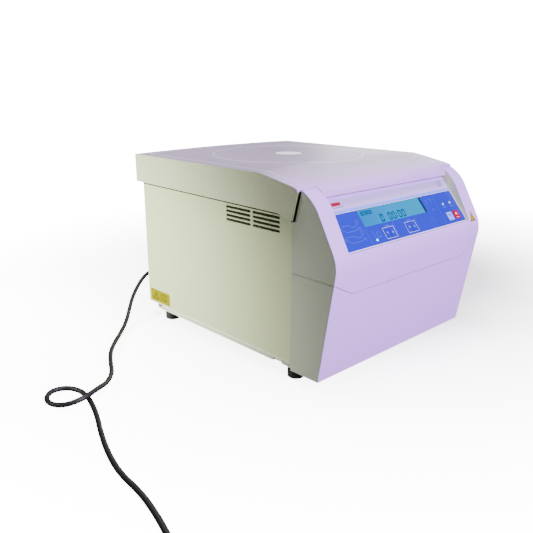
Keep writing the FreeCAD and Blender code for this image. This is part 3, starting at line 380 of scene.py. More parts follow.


# sage and lilac are partly painted coloured light: the machine is a pale grey-white, and the green of the
# sides and the violet of the front stand in for a warm side lamp and a lilac front lamp
sage = tone(204, 215, 172)
lilac = tone(194, 154, 240)
finishes = {
    "lid_paint": dict(color=tone(150, 139, 164), side=sage, front=lilac, roughness=0.44, drift=0.06,
                      speckle=0.14, scale=700.0, bump=0.6, specular=0.35),
    "side_paint": dict(color=sage, roughness=0.42, drift=0.012, speckle=0.02, scale=1400.0, bump=0.25,
                       dust=0.1),
    "front_plastic": dict(color=lilac, side=tone(190, 212, 158), roughness=0.38, drift=0.012,
                          speckle=0.015, scale=1600.0, bump=0.15, dust=0.08),
    "tray_steel": dict(color=tone(226, 228, 218), roughness=0.4, dust=0.08, speckle=0.03),
    "rubber": dict(color=tone(34, 33, 33), roughness=0.72, speckle=0.15, bump=0.4),
    "seal_rubber": dict(color=tone(46, 46, 48), roughness=0.6, speckle=0.1),
    "cast_alloy": dict(color=tone(178, 180, 183), roughness=0.5, metallic=1.0, speckle=0.08, bump=0.6,
                       scale=500.0),
    "bearing_steel": dict(color=tone(190, 190, 192), roughness=0.22, metallic=1.0, speckle=0.03),
    "copper": dict(color=tone(190, 110, 62), roughness=0.35, metallic=1.0, speckle=0.1),
    "black_plastic": dict(color=tone(30, 30, 32), roughness=0.45, speckle=0.12, scale=1300.0, bump=0.4),
    "circuit_board": dict(color=tone(34, 92, 56), roughness=0.4, speckle=0.1),
    "cord_rubber": dict(color=tone(22, 21, 25), roughness=0.5, speckle=0.12, bump=0.3, scale=700.0,
                        specular=0.35),
    "liner_plastic": dict(color=tone(214, 212, 216), roughness=0.42, speckle=0.02),
    # the window's glow is painted light: the pale disc shines brighter than the lamps alone light it
    "window_plastic": dict(color=tone(248, 246, 250), roughness=0.3, speckle=0.01, coat=0.3,
                           coatRoughness=0.1, glow=0.5),
    "rotor_alloy": dict(color=tone(150, 153, 158), roughness=0.36, metallic=1.0, speckle=0.04, rub=0.4,
                        rubColor=tone(215, 215, 218)),
    "panel_film": dict(color=tone(22, 36, 160), roughness=0.4, drift=0.04, speckle=0.01, specular=0.3),
    "key_blue": dict(color=tone(22, 36, 160), roughness=0.36, speckle=0.01, specular=0.35),
    "key_start": dict(color=tone(112, 140, 240), roughness=0.36, speckle=0.01, specular=0.35),
    "key_stop": dict(color=tone(150, 0, 26), roughness=0.36, speckle=0.01, specular=0.35),
}
materials = {name: finish(name, v) for name, v in finishes.items()}


turnedSteel = {"dark": tone(170, 172, 176), "bright": tone(205, 206, 208), "stretch": (4.0, 4.0, 900.0),
               "gloss": (0.22, 0.4), "brushing": 0.5, "bump": 0.15, "bumpDepth": 0.0002}


def brushedSteel(v):
    # chamber bowl: fine rings from turning
    mat = bpy.data.materials.new("chamber_steel")
    mat.use_nodes = True
    tree = mat.node_tree
    shader = tree.nodes["Principled BSDF"]
    shader.inputs["Metallic"].default_value = 1.0
    shader.inputs["Anisotropic"].default_value = v["brushing"]
    place = addNode(tree, "ShaderNodeTexCoord")
    squeeze = addNode(tree, "ShaderNodeMapping", Scale=v["stretch"])
    streak = addNode(tree, "ShaderNodeTexNoise", Scale=1.0, Detail=5.0)
    tree.links.new(place.outputs["Object"], squeeze.inputs["Vector"])
    tree.links.new(squeeze.outputs[0], streak.inputs["Vector"])
    smooth, rough = v["gloss"]
    ramp = addNode(tree, "ShaderNodeMapRange", From_Min=0.3, From_Max=0.7, To_Min=smooth, To_Max=rough)
    tree.links.new(streak.outputs["Fac"], ramp.inputs["Value"])
    tree.links.new(ramp.outputs[0], shader.inputs["Roughness"])
    tint = addNode(tree, "ShaderNodeMix", data_type="RGBA")
    tint.inputs[6].default_value = v["dark"]
    tint.inputs[7].default_value = v["bright"]
    tree.links.new(streak.outputs["Fac"], tint.inputs[0])
    tree.links.new(tint.outputs[2], shader.inputs["Base Color"])
    bump = addNode(tree, "ShaderNodeBump", Strength=v["bump"], Distance=v["bumpDepth"])
    tree.links.new(streak.outputs["Fac"], bump.inputs["Height"])
    tree.links.new(bump.outputs["Normal"], shader.inputs["Normal"])
    return mat


materials["chamber_steel"] = brushedSteel(turnedSteel)

litDisplay = {"left": tone(0, 98, 148), "middle": tone(0, 114, 156), "right": tone(6, 118, 146),
              "middleAt": 0.45, "mottleScale": 300.0, "mottle": 0.12, "glow": 0.25, "roughness": 0.25,
              "specular": 0.25}


def displayGlass(v):
    # lit display: brighter at its middle, faintly mottled
    mat = bpy.data.materials.new("lcd_glass")
    mat.use_nodes = True
    tree = mat.node_tree
    shader = tree.nodes["Principled BSDF"]
    low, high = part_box("lcd_display")
    place = addNode(tree, "ShaderNodeTexCoord")
    split = addNode(tree, "ShaderNodeSeparateXYZ")
    tree.links.new(place.outputs["Object"], split.inputs[0])
    across = addNode(tree, "ShaderNodeMapRange", From_Min=low[0], From_Max=high[0])
    tree.links.new(split.outputs["X"], across.inputs["Value"])
    ramp = addNode(tree, "ShaderNodeValToRGB")
    stops = ramp.color_ramp.elements
    stops[0].color = v["left"]
    stops[1].color = v["right"]
    middle = stops.new(v["middleAt"])
    middle.color = v["middle"]
    tree.links.new(across.outputs[0], ramp.inputs[0])
    mottle = addNode(tree, "ShaderNodeTexNoise", Scale=v["mottleScale"], Detail=1.0)
    tree.links.new(place.outputs["Object"], mottle.inputs["Vector"])
    mix = addNode(tree, "ShaderNodeMix", data_type="RGBA", blend_type="MULTIPLY")
    mix.inputs[0].default_value = v["mottle"]
    tree.links.new(ramp.outputs[0], mix.inputs[6])
    tree.links.new(mottle.outputs["Fac"], mix.inputs[7])
    tree.links.new(mix.outputs[2], shader.inputs["Base Color"])
    tree.links.new(mix.outputs[2], shader.inputs["Emission Color"])
    shader.inputs["Emission Strength"].default_value = v["glow"]
    shader.inputs["Roughness"].default_value = v["roughness"]
    shader.inputs["Specular IOR Level"].default_value = v["specular"]
    return mat


materials["lcd_glass"] = displayGlass(litDisplay)
slotOf = {row["node"]: row["material_slot"] for row in frame["record"]["subparts"]}
for name, node in nodes.items():
    node.data.materials.clear()
    node.data.materials.append(materials[slotOf[name]])
cord.data.materials.append(materials["cord_rubber"])
print("finishes made")

edgeWidths = {
    "front_cover_upper": 1.6, "front_cover_lower": 1.6, "lid_cover": 1.4, "left_side_panel": 0.5,
    "right_side_panel": 0.5, "rear_panel": 0.4, "top_deck": 0.4, "base_plate": 0.5, "cord_connector": 0.8,
    "mains_plug": 0.6, "mains_inlet": 0.4, "switch_frame": 0.4, "power_rocker": 0.5, "fan_frame": 0.5,
    "fan_guard": 0.3, "rotor_yoke": 0.8, "rotor_nut": 0.5, "hinge_arms": 0.5, "lid_liner": 0.5,
    "panel_screws": 0.2, "latch_hooks": 0.3, "lid_strikers": 0.3,
}
for name, width in edgeWidths.items():
    bevel(nodes[name], width * mm)


def flatInk(name, color, roughness=0.4, glow=0.0, specular=0.4):
    # a printed film: flat, with hardly any grain
    return finish(name, dict(color=color, roughness=roughness, speckle=0.03, drift=0.03, scale=2200.0,
                             rub=0.0, bump=0.05, specular=specular, glow=glow))


inks = {
    "white": flatInk("white print", tone(206, 216, 246)),
    "paleBlue": flatInk("pale blue print", tone(56, 82, 204)),
    "softBlue": flatInk("soft blue band", tone(112, 136, 236)),
    "lavender": flatInk("lavender band", tone(172, 160, 214)),
    "bezel": flatInk("panel border", tone(226, 222, 246)),
    "darkGlass": flatInk("display edge", tone(20, 40, 50), roughness=0.3),
    "segment": flatInk("display segment", tone(14, 10, 6), roughness=0.8, specular=0.02),
    "red": flatInk("red print", tone(150, 16, 40)),
    "grey": flatInk("grey print and painted gap shade", tone(112, 104, 132)),
    "navy": flatInk("navy print", tone(60, 64, 130)),
    "yellow": flatInk("yellow film", tone(138, 132, 0), roughness=0.8, specular=0.02),
    "black": flatInk("black print", tone(22, 22, 22)),
    "glow": flatInk("lit lens", tone(120, 225, 255), roughness=0.2, glow=2.5),
    "ventShade": flatInk("vent painted shade", tone(44, 47, 38), roughness=0.9, specular=0.05),
    "edgeSage": flatInk("lid rim paint", tone(112, 132, 84), roughness=0.6, specular=0.1),
    "lidGrooveHighlight": flatInk("lid groove highlight", tone(212, 206, 216)),
    # painted shade for the dark strips at gaps; the same black colours the lead tie
    "gapShadeAndTieBlack": flatInk("painted gap shade and tie black", tone(10, 10, 9), roughness=0.95, specular=0.02),
}


def rect(u0, u1, s0, s1):
    return [(u0, s0), (u1, s0), (u1, s1), (u0, s1)]


def border(u0, u1, s0, s1, w):
    return [rect(u0, u1, s0, s0 + w), rect(u0, u1, s1 - w, s1),
            rect(u0, u0 + w, s0 + w, s1 - w), rect(u1 - w, u1, s0 + w, s1 - w)]


def disc(u, s, r, count=24):
    return [(u + r * math.cos(2 * math.pi * i / count), s + r * math.sin(2 * math.pi * i / count))
            for i in range(count)]


def hoop(u, s, r, w, count=24):
    # a ring as a run of short bars
    outline = []
    for i in range(count):
        a0, a1 = 2 * math.pi * i / count, 2 * math.pi * (i + 1) / count
        outline.append([(u + q * math.cos(a), s + q * math.sin(a))
                        for q, a in ((r - w, a0), (r, a0), (r, a1), (r - w, a1))])
    return outline


def stroke(points, w):
    # a line of even width through the points
    bars = []
    for (u0, s0), (u1, s1) in zip(points, points[1:]):
        run = math.hypot(u1 - u0, s1 - s0)
        du, ds = (u1 - u0) / run * w / 2, (s1 - s0) / run * w / 2
        bars.append([(u0 - du + ds, s0 - ds - du), (u1 + du + ds, s1 + ds - du),
                     (u1 + du - ds, s1 + ds + du), (u0 - du - ds, s0 - ds + du)])
    return bars


def rounded(u0, u1, s0, s1, r, count=6):
    points = []
    turns = ((u1 - r, s0 + r, -90), (u1 - r, s1 - r, 0), (u0 + r, s1 - r, 90), (u0 + r, s0 + r, 180))
    for cu, cs, start in turns:
        for i in range(count + 1):
            a = math.radians(start + 90 * i / count)
            points.append((cu + r * math.cos(a), cs + r * math.sin(a)))
    return points


def thinPrint(name, shapes, ink, turnTo, low, high, body="housing"):
    # closed thin plates, one for each outline, laid in the plane that turnTo gives
    bm = bmesh.new()
    for outline in shapes:
        area = sum(a[0] * b[1] - b[0] * a[1] for a, b in zip(outline, outline[1:] + outline[:1]))
        ring = outline if area > 0 else outline[::-1]
        under = [bm.verts.new((u * mm, s * mm, low * mm)) for u, s in ring]
        over = [bm.verts.new((u * mm, s * mm, high * mm)) for u, s in ring]
        bm.faces.new(over)
        bm.faces.new(under[::-1])
        for i in range(len(ring)):
            j = (i + 1) % len(ring)
            bm.faces.new((under[i], under[j], over[j], over[i]))
    bm.transform(turnTo)
    piece = newPiece(name, meshFrom(bm, name), body, smooth=False)
    piece.data.materials.append(inks[ink])


panelPlane = Matrix.Translation((0, -226.0 * mm, 204.1 * mm)) @ Matrix.Rotation(math.radians(50.4), 4, "X")

panelPrint = {
    "field": (-155.0, 155.0, -2.9, 57.3), "display": (-93.5, 59.0, 28.4, 56.2),
    "edgeLine": 0.6, "border": 1.0, "film": (0.02, 0.14), "bandFilm": (-0.05, 0.12),
    "badgeFilm": (0.14, 0.24),
    "bands": {"softBlue": (57.6, 61.2), "lavender": (61.3, 78.6)}, "bandInset": 0.4,
    "darkEdge": (0.4, 4.6, 0.3, 0.1),
    "keyBoxes": {"speed": (-60.6, -35.9, 3.4, 20.3), "time": (-5.8, 18.9, 3.4, 20.3)},
    "keyBoxLine": 0.36, "captionHalf": 4.6, "captionLift": 2.2, "captionHeight": 1.32,
    "dividers": [(-97, 1.5, 26.5), (-32, 2.5, 26), (23.4, 2.5, 26.5), (66.5, 3.5, 55.3), (97, 2.5, 55.7)],
    "dividerHalf": 0.2, "thinLine": 0.6,
    "statusLamps": [(114.8, 33.6), (135.1, 33.6)], "statusLamp": 1.9,
    "circuitLifts": (0, 17),
    "circuitRuns": [[(-141, 20), (-126, 20), (-121, 16), (-112, 16)],
                    [(-141, 14), (-134, 10), (-112, 10), (-107.5, 13.5)], [(-112, 16), (-107.5, 19.5)]],
    "circuitRings": [(-105.5, 21.6, 3.0), (-105.5, 11.6, 2.2), (-143.4, 17.0, 2.2)],
    "sideMarks": [(74.4, 45.9), (86.8, 47.3)],
    "lensMark": (-83.5, 5.6, 1.7), "lensFilm": (0.02, 0.35),
    "badge": (-141, -117.5, 68.8, 74.2, 2.5), "badgeLine": (-137, -114, 65.6, 66.8),
}

displayDigits = {
    "height": 12.2, "width": 7.2, "bar": 1.5, "foot": 30.3, "lean": 0.06, "gap": 0.35,
    "places": [-51.4, -32.6, -22.4, -7.8, 2.4], "colon": (-11.4, 1.2), "colonRise": (3.4, 7.8),
    "blocks": 5, "blockStart": 5.5, "blockPitch": 5.2, "blockWidth": 3.9, "blockLine": 0.8,
    "blockDrop": (9.6, 3.4), "blockBar": (3.1, 6.9, 6.1), "film": (-0.28, -0.2),
}


def digitZero(u, v):
    # a nought made of six strokes with small gaps, leaning a little
    s, w, h, bar, gap = v["foot"], v["width"], v["height"], v["bar"], v["gap"]
    left, right = u + gap + bar * 0.5, u + w - gap - bar * 0.5
    shapes = [rect(left, right, s + h - bar, s + h), rect(left, right, s, s + bar)]
    for side in (u, u + w - bar):
        shapes.append(rect(side, side + bar, s + gap + bar * 0.3, s + h / 2 - gap))
        shapes.append(rect(side, side + bar, s + h / 2 + gap, s + h - gap - bar * 0.3))
    return [[(a + (b - s) * v["lean"], b) for a, b in shape] for shape in shapes]


def addDigits(v, display):
    # time and speed as noughts, and a row of plain state blocks over them
    shapes = []
    for place in v["places"]:
        shapes += digitZero(place, v)
    colon, dot = v["colon"]
    for rise in v["colonRise"]:
        shapes.append(disc(colon, v["foot"] + rise, dot, 12))
    left, top, line = display[0], display[3], v["blockLine"]
    foot, head = (top - drop for drop in v["blockDrop"])
    barEnd, barLow, barHigh = v["blockBar"]
    for i in range(v["blocks"]):
        start = left + v["blockStart"] + i * v["blockPitch"]
        shapes += border(start, start + v["blockWidth"], foot, head, line)
        if i % 2 == 0:
            shapes.append(rect(start + line, start + barEnd, top - barLow, top - barHigh))
    thinPrint("display_digits", shapes, "segment", panelPlane, *v["film"])


def addPanelPrint(v):
    u1, s0, s1 = v["display"][1:]
    f0, f1, g0, g1 = v["field"]
    edge = v["edgeLine"]
    # painted shade: a grey line round the edge of the field stands for the shade in the gap round the panel
    # plate
    thinPrint("panel_gap_painted_shade", border(f0, f1, g0, g1, edge), "grey", panelPlane, *v["film"])
    thinPrint("panel_border", border(f0 + edge, f1 - edge, g0 + edge, g1, v["border"]), "bezel", panelPlane,
              *v["film"])
    near, far, rise, drop = v["darkEdge"]
    thinPrint("display_dark_edge", [rect(u1 + near, u1 + far, s0 + rise, s1 - drop)], "darkGlass", panelPlane,
              *v["film"])
    for name, (b0, b1) in v["bands"].items():
        band = rect(f0 + v["bandInset"], f1 - v["bandInset"], b0, b1)
        thinPrint("panel_band_" + name, [band], name, panelPlane, *v["bandFilm"])
    addDigits(displayDigits, v["display"])

    white, pale, thin = [], [], v["thinLine"]
    for b0, b1, c0, c1 in v["keyBoxes"].values():
        white += border(b0 - 0.7, b1 + 0.7, c0 - 0.6, c1 + 0.4, v["keyBoxLine"])
        mid, low = (b0 + b1) / 2, c1 + v["captionLift"]
        pale.append(rect(mid - v["captionHalf"], mid + v["captionHalf"], low, low + v["captionHeight"]))
    for u, a, b in v["dividers"]:
        pale.append(rect(u - v["dividerHalf"], u + v["dividerHalf"], a, b))
    for u, s in v["statusLamps"]:  # a lamp over two caption bars
        white.append(disc(u, s + 1.5, v["statusLamp"]))
        pale.append(rect(u - 4.4, u + 4.4, s - 4.6, s - 3.6))
        pale.append(rect(u - 3.2, u + 3.2, s - 6.6, s - 5.8))
    for lift in v["circuitLifts"]:  # plain lines joining small circles, left of the display
        for run in v["circuitRuns"]:
            pale += stroke([(u, s + lift) for u, s in run], thin)
        for u, s, r in v["circuitRings"]:
            pale += hoop(u, s + lift, r, thin)
    for u, s in v["sideMarks"]:
        pale += border(u - 3.0, u + 3.0, s - 2.6, s + 2.6, thin)
        pale.append(disc(u, s - 6.0, 0.9, 12))
    pale += stroke([(78, 28.2), (81.3, 30.6), (86, 29.4)], 0.7)
    pale += stroke([(-84.5, 9.5), (-84.5, 22)], 0.5)
    pale += border(-78, -70.5, 8.5, 17.5, thin)
    thinPrint("panel_white_print", white, "white", panelPlane, *v["film"])
    thinPrint("panel_pale_print", pale, "paleBlue", panelPlane, *v["film"])
    u, s, r = v["lensMark"]
    thinPrint("status_lens", [disc(u, s, r, 20)], "glow", panelPlane, *v["lensFilm"])
    thinPrint("upper_badge", [rounded(*v["badge"])], "red", panelPlane, *v["badgeFilm"])
    thinPrint("upper_badge_line", [rect(*v["badgeLine"])], "grey", panelPlane, *v["badgeFilm"])
    thinPrint("upper_outline_mark", border(131, 141, 67.0, 75.6, 0.8) + border(133.4, 138.6, 68.8, 71.4, 0.5),
              "navy", panelPlane, *v["badgeFilm"])


keyMarks = {
    "columns": {"speed_down": (-59.6, -48.9), "speed_up": (-47.6, -36.9), "time_down": (-4.8, 5.9),
                "time_up": (7.2, 17.9), "start": (108.4, 123.6), "stop": (127.4, 142.2)},
    "arrowHalf": 1.9, "captionHalf": 3.4, "film": (0.5, 0.6),
}


def addKeyMarks(v):
    # each mark rides on its own key, whose body has the same name
    half, wide = v["arrowHalf"], v["captionHalf"]
    for name, (k0, k1) in v["columns"].items():
        mid = (k0 + k1) / 2
        if name.endswith("_down"):
            shapes, ink = [[(mid - half, 13.4), (mid, 9.8), (mid + half, 13.4)]], "softBlue"
        elif name.endswith("_up"):
            shapes, ink = [[(mid - half, 10.0), (mid + half, 10.0), (mid, 13.6)]], "softBlue"
        elif name == "start":
            shapes, ink = [[(mid - 2.0, 10.6), (mid + 2.6, 13.4), (mid - 2.0, 16.2)],
                           rect(mid - wide, mid + wide, 6.8, 7.6)], "navy"
        else:
            shapes, ink = [disc(mid, 13.8, 2.0), rect(mid - wide, mid + wide, 6.9, 7.6)], "white"
        thinPrint(name + "_mark", shapes, ink, panelPlane, *v["film"], body=name)


addPanelPrint(panelPrint)
addKeyMarks(keyMarks)
print("panel print made")


def surfaceTree(piece):
    graph = bpy.context.evaluated_depsgraph_get()
    bm = bmesh.new()
    bm.from_object(piece, graph)
    bm.transform(piece.matrix_world)
    tree = BVHTree.FromBMesh(bm)
    bm.free()
    return tree


def above(tree, x, y):
    # where the surface is, straight down from over the machine
    return tree.ray_cast(Vector((x * mm, y * mm, 0.4)), Vector((0, 0, -1)))[0]


labels = {
    "sideCorner": (155.5, 30.5), "sideSize": (60.5, 23.0), "sideFace": -185.0, "sideRound": 1.8,
    "sideFilm": (0.0, 0.25), "printFilm": (0.25, 0.33),
    "cheekMark": (168.0, 208.0, 15.0, 17.0), "cheekRows": 10, "cheekTip": 0.15, "cheekSink": 0.1,
    "cheekLayers": {"cheek_mark_edge": ("black", 0.0, 0.12), "cheek_mark": ("yellow", 1.5, 0.2)},
}


def addLabels(v):
    # yellow plate low on the left side panel: its own axes run forward and up
    y1, z0 = v["sideCorner"][0] + v["sideSize"][0], v["sideCorner"][1]
    w, h = v["sideSize"]
    leftWall = Matrix.Translation((v["sideFace"] * mm, y1 * mm, z0 * mm)) @ Matrix(
        ((0, 0, -1, 0), (-1, 0, 0, 0), (0, 1, 0, 0), (0, 0, 0, 1)))
    thinPrint("side_label", [rounded(0, w, 0, h, v["sideRound"])], "yellow", leftWall, *v["sideFilm"])
    marks = stroke([(9, 5), (25, 5), (17, 18.5), (9, 5)], 1.1)
    marks += stroke([(17, 8.0), (17, 14)], 1.2)
    marks += border(33, 50, 5.5, 17.5, 0.9) + [rect(36, 43, 8.8, 9.6), rect(36, 45, 11.8, 12.6)]
    marks += stroke([(44, 7.5), (53, 7.5)], 0.8)
    thinPrint("side_label_print", marks, "black", leftWall, *v["printFilm"])
    # small yellow triangle on the right cheek, pressed onto its curve
    tree = surfaceTree(nodes["front_cover_upper"])
    midX, midZ, wide, tall = v["cheekMark"]
    steps = v["cheekRows"]
    for name, (ink, shrink, lift) in v["cheekLayers"].items():
        bm = bmesh.new()
        rows = []
        for i in range(steps + 1):
            f = i / steps
            z = midZ - tall / 2 + shrink * 0.8 + (tall - shrink * 2.2) * f
            half = max(v["cheekTip"], (wide / 2 - shrink) * (1 - f))
            row = []
            for k in (-1, 0, 1):
                hit = tree.ray_cast(Vector(((midX + k * half) * mm, -0.4, z * mm)), Vector((0, 1, 0)))
                row.append((hit[0] + hit[1] * lift * mm, hit[0] - hit[1] * v["cheekSink"] * mm))
            rows.append([(bm.verts.new(o), bm.verts.new(u)) for o, u in row])
        for r0, r1 in zip(rows, rows[1:]):
            for j in (0, 1):
                bm.faces.new((r0[j][0], r0[j + 1][0], r1[j + 1][0], r1[j][0]))
                bm.faces.new((r0[j][1], r1[j][1], r1[j + 1][1], r0[j + 1][1]))
            for j in (0, 2):
                bm.faces.new((r0[j][0], r1[j][0], r1[j][1], r0[j][1]))
        for row in (rows[0], rows[-1]):
            for j in (0, 1):
                bm.faces.new((row[j][0], row[j + 1][0], row[j + 1][1], row[j][1]))
        piece = newPiece(name, meshFrom(bm, name), smooth=False)
        piece.data.materials.append(inks[ink])


addLabels(labels)
print("labels made")

lidRibs = {"count": 23, "pitch": 13.5, "front": -158.0, "backMiddle": -135.4, "backCurve": 0.0011,
           "width": 1.7, "rise": 0.45, "steps": 6, "crown": 0.7, "tipWidth": 0.35, "tipRise": 0.4,
           "sink": -0.05}


def addLidRibs(v):
    # short raised strips that follow the lid, longer toward its middle
    tree = surfaceTree(nodes["lid_cover"])
    bm = bmesh.new()
    for i in range(v["count"]):
        x = (i - (v["count"] - 1) / 2) * v["pitch"]
        back = v["backMiddle"] + v["backCurve"] * x * x
        rows = []
        for step in range(v["steps"] + 1):
            y = v["front"] + (back - v["front"]) * step / v["steps"]
            tip = step in (0, v["steps"])
            half = v["width"] / 2 * (v["tipWidth"] if tip else 1)
            rise = v["rise"] * (v["tipRise"] if tip else 1)
            inner = half * v["crown"]
            row = []
            for dx, lift in ((-half, v["sink"]), (-inner, rise), (inner, rise), (half, v["sink"])):
                hit = above(tree, x + dx, y)
                row.append(bm.verts.new((hit.x, hit.y, hit.z + lift * mm)))
            rows.append(row)
        for a, b in zip(rows, rows[1:]):
            for j in range(3):
                bm.faces.new((a[j], a[j + 1], b[j + 1], b[j]))
            bm.faces.new((a[3], a[0], b[0], b[3]))
        bm.faces.new(rows[0][::-1])
        bm.faces.new(rows[-1])
    piece = newPiece("lid_ribs", meshFrom(bm, "lid_ribs"), "lid", smooth=False)
    piece.data.materials.append(materials["lid_paint"])


addLidRibs(lidRibs)

lidGrooveHighlights = {"axisY": 40.5, "circle": 131.5, "edge": 172.6, "back": 216.0, "front": -128.0, "frontX": 166.0,
            "frontEnd": -150.0, "width": 1.3, "rise": 0.1, "sink": -0.5, "circleSteps": 96, "stepLength": 8,
            "reachOut": 1.3}


def addLidGrooveHighlights(v):
    # pale strips that fill the shallow grooves of the lid, a circle and a border: their light colour is a
    # painted highlight of the groove edges
    tree = surfaceTree(nodes["lid_cover"])
    count = v["circleSteps"]
    circle = [(v["circle"] * math.cos(a), v["axisY"] + v["circle"] * math.sin(a))
              for a in (2 * math.pi * i / count for i in range(count + 1))]
    sideRun = [(v["frontX"], v["frontEnd"]), (v["edge"], v["front"]), (v["edge"], v["back"])]
    edgeLine = sideRun + [(-x, y) for x, y in reversed(sideRun)]
    fine = []
    for (x0, y0), (x1, y1) in zip(edgeLine, edgeLine[1:]):
        steps = max(1, int(math.hypot(x1 - x0, y1 - y0) / v["stepLength"]))
        fine += [(x0 + (x1 - x0) * i / steps, y0 + (y1 - y0) * i / steps) for i in range(steps)]
    bm = bmesh.new()
    for path in (circle, fine + [edgeLine[-1]]):
        rows = []
        for i, (x, y) in enumerate(path):
            before, after = path[max(i - 1, 0)], path[min(i + 1, len(path) - 1)]
            if path is circle and i in (0, len(path) - 1):
                before, after = path[-2], path[1]
            run = Vector((after[0] - before[0], after[1] - before[1])).normalized()
            side = Vector((-run.y, run.x)) * v["width"] / 2
            row = []
            for k, lift in ((-1, v["sink"]), (-1, v["rise"]), (1, v["rise"]), (1, v["sink"])):
                far = k * v["reachOut"]  # the height is read just outside the groove
                hit = above(tree, x + side.x * far, y + side.y * far)
                row.append(bm.verts.new(((x + side.x * k) * mm, (y + side.y * k) * mm, hit.z + lift * mm)))
            rows.append(row)
        for a, b in zip(rows, rows[1:]):
            for j in range(4):
                bm.faces.new((a[j], a[(j + 1) % 4], b[(j + 1) % 4], b[j]))
        bm.faces.new(rows[0][::-1])
        bm.faces.new(rows[-1])
    piece = newPiece("lid_groove_highlights", meshFrom(bm, "lid_groove_highlights"), "lid", smooth=False)
    piece.data.materials.append(inks["lidGrooveHighlight"])


addLidGrooveHighlights(lidGrooveHighlights)
print("lid ribs and lines made")

cornerShadeStrips = {"strips": {"lid_corner_painted_shade": ((181.0, 188.4), "gapShadeAndTieBlack"),
                         "lid_corner_edge": ((188.4, 190.9), "edgeSage")},
              "z": (241.0, 281.8), "footY": -156.6, "footZ": 240.8, "run": 0.2578, "thick": 0.6}


def addCornerShadeStrips(v):
    # painted shade: a dark strip on the lid's slanting front edge makes the gap beside the cheek read dark,
    # and a sage strip outside it paints the side's greener light over the lid's front face
    for name, (reach, ink) in v["strips"].items():
        bm = bmesh.new()
        for side in (-1, 1):
            corners = []
            for z in v["z"]:
                y = v["footY"] - (z - v["footZ"]) * v["run"]
                for x in reach:
                    for out in (0.0, v["thick"]):
                        corners.append(bm.verts.new((side * x * mm, (y - out) * mm, z * mm)))
            for ring in ((0, 1, 3, 2), (4, 6, 7, 5), (0, 4, 5, 1), (2, 3, 7, 6), (1, 5, 7, 3), (0, 2, 6, 4)):
                bm.faces.new([corners[i] for i in ring])
        piece = newPiece(name, meshFrom(bm, name), "lid", smooth=False)
        piece.data.materials.append(inks[ink])


addCornerShadeStrips(cornerShadeStrips)

skirtShadeStrip = {"path": [(221, 252.0), (-131, 248.0), (-153, 241.4)], "tall": 3.4, "face": 185.0, "thick": 0.5}
ventShadeSheet = {"x": (181.6, 182.6), "y": (-135, -4), "z": (214, 247)}


def slab(bm, corners):
    # eight corners, four below and four above, in matching order
    verts = [bm.verts.new(Vector(c) * mm) for c in corners]
    for ring in ((3, 2, 1, 0), (4, 5, 6, 7), (0, 1, 5, 4), (1, 2, 6, 5), (2, 3, 7, 6), (3, 0, 4, 7)):
        bm.faces.new([verts[i] for i in ring])


def addSkirtAndVentShade(strip, screen):
    # painted shade: a dark strip just under the lid's skirt, and a dark sheet behind the vents, where only
    # shade is
    seal, ventShadeMesh = bmesh.new(), bmesh.new()
    for side in (-1, 1):
        inner, outer = side * strip["face"], side * (strip["face"] + strip["thick"])
        for (y0, z0), (y1, z1) in zip(strip["path"], strip["path"][1:]):
            slab(seal, [(inner, y0, z0 - strip["tall"]), (outer, y0, z0 - strip["tall"]),
                        (outer, y1, z1 - strip["tall"]), (inner, y1, z1 - strip["tall"]),
                        (inner, y0, z0), (outer, y0, z0), (outer, y1, z1), (inner, y1, z1)])
        x0, x1 = (side * x for x in screen["x"])
        (y0, y1), (z0, z1) = screen["y"], screen["z"]
        slab(ventShadeMesh, [(x0, y0, z0), (x1, y0, z0), (x1, y1, z0), (x0, y1, z0),
                    (x0, y0, z1), (x1, y0, z1), (x1, y1, z1), (x0, y1, z1)])
    for name, bm, ink in (("lid_skirt_painted_shade", seal, "gapShadeAndTieBlack"), ("vent_painted_shade", ventShadeMesh, "ventShade")):
        piece = newPiece(name, meshFrom(bm, name), smooth=False)
        piece.data.materials.append(inks[ink])


addSkirtAndVentShade(skirtShadeStrip, ventShadeSheet)
print("lid corner shade strips, skirt shade and vent shade made")

leadFittings = {"tieAngle": 200, "tieWidth": 7.0, "tieWall": 1.2, "coilCentre": (-551.0, -352.0, 7.2),
                "coilMiddle": 37.4, "coilHalfWide": 7.6, "coilHalfHigh": 7.2, "count": 24, "roundness": 0.6}


def addTie(v):
    # hook-and-loop tie round the wound lead
    bm = bmesh.new()
    cx, cy, cz = v["coilCentre"]
    a = math.radians(v["tieAngle"])
    out = Vector((math.cos(a), math.sin(a), 0))
    along = Vector((-math.sin(a), math.cos(a), 0))
    middle = Vector((cx, cy, cz)) + out * v["coilMiddle"]
    ringPoints = []
    count, power = v["count"], v["roundness"]
    for wall in (0.0, v["tieWall"]):
        ring = []
        for i in range(count):
            t = 2 * math.pi * i / count
            c, s = math.cos(t), math.sin(t)
            w = (v["coilHalfWide"] + wall) * abs(c) ** power * (1 if c >= 0 else -1)
            h = (v["coilHalfHigh"] + wall) * s ** power if s >= 0 else -v["coilHalfHigh"] * abs(s) ** power
            ring.append(middle + out * w + Vector((0, 0, h)))
        ringPoints.append(ring)
    verts = [[[bm.verts.new((p + along * side * v["tieWidth"] / 2) * mm) for p in ring] for side in (-1, 1)]
             for ring in ringPoints]
    inner, outer = verts
    for i in range(count):
        j = (i + 1) % count
        bm.faces.new((outer[0][i], outer[0][j], outer[1][j], outer[1][i]))
        bm.faces.new((inner[0][i], inner[1][i], inner[1][j], inner[0][j]))
        for side in (0, 1):
            bm.faces.new((inner[side][i], inner[side][j], outer[side][j], outer[side][i]))
    piece = newPiece("lead_tie", meshFrom(bm, "lead_tie"))
    piece.data.materials.append(inks["gapShadeAndTieBlack"])


addTie(leadFittings)
print("lead fittings made")


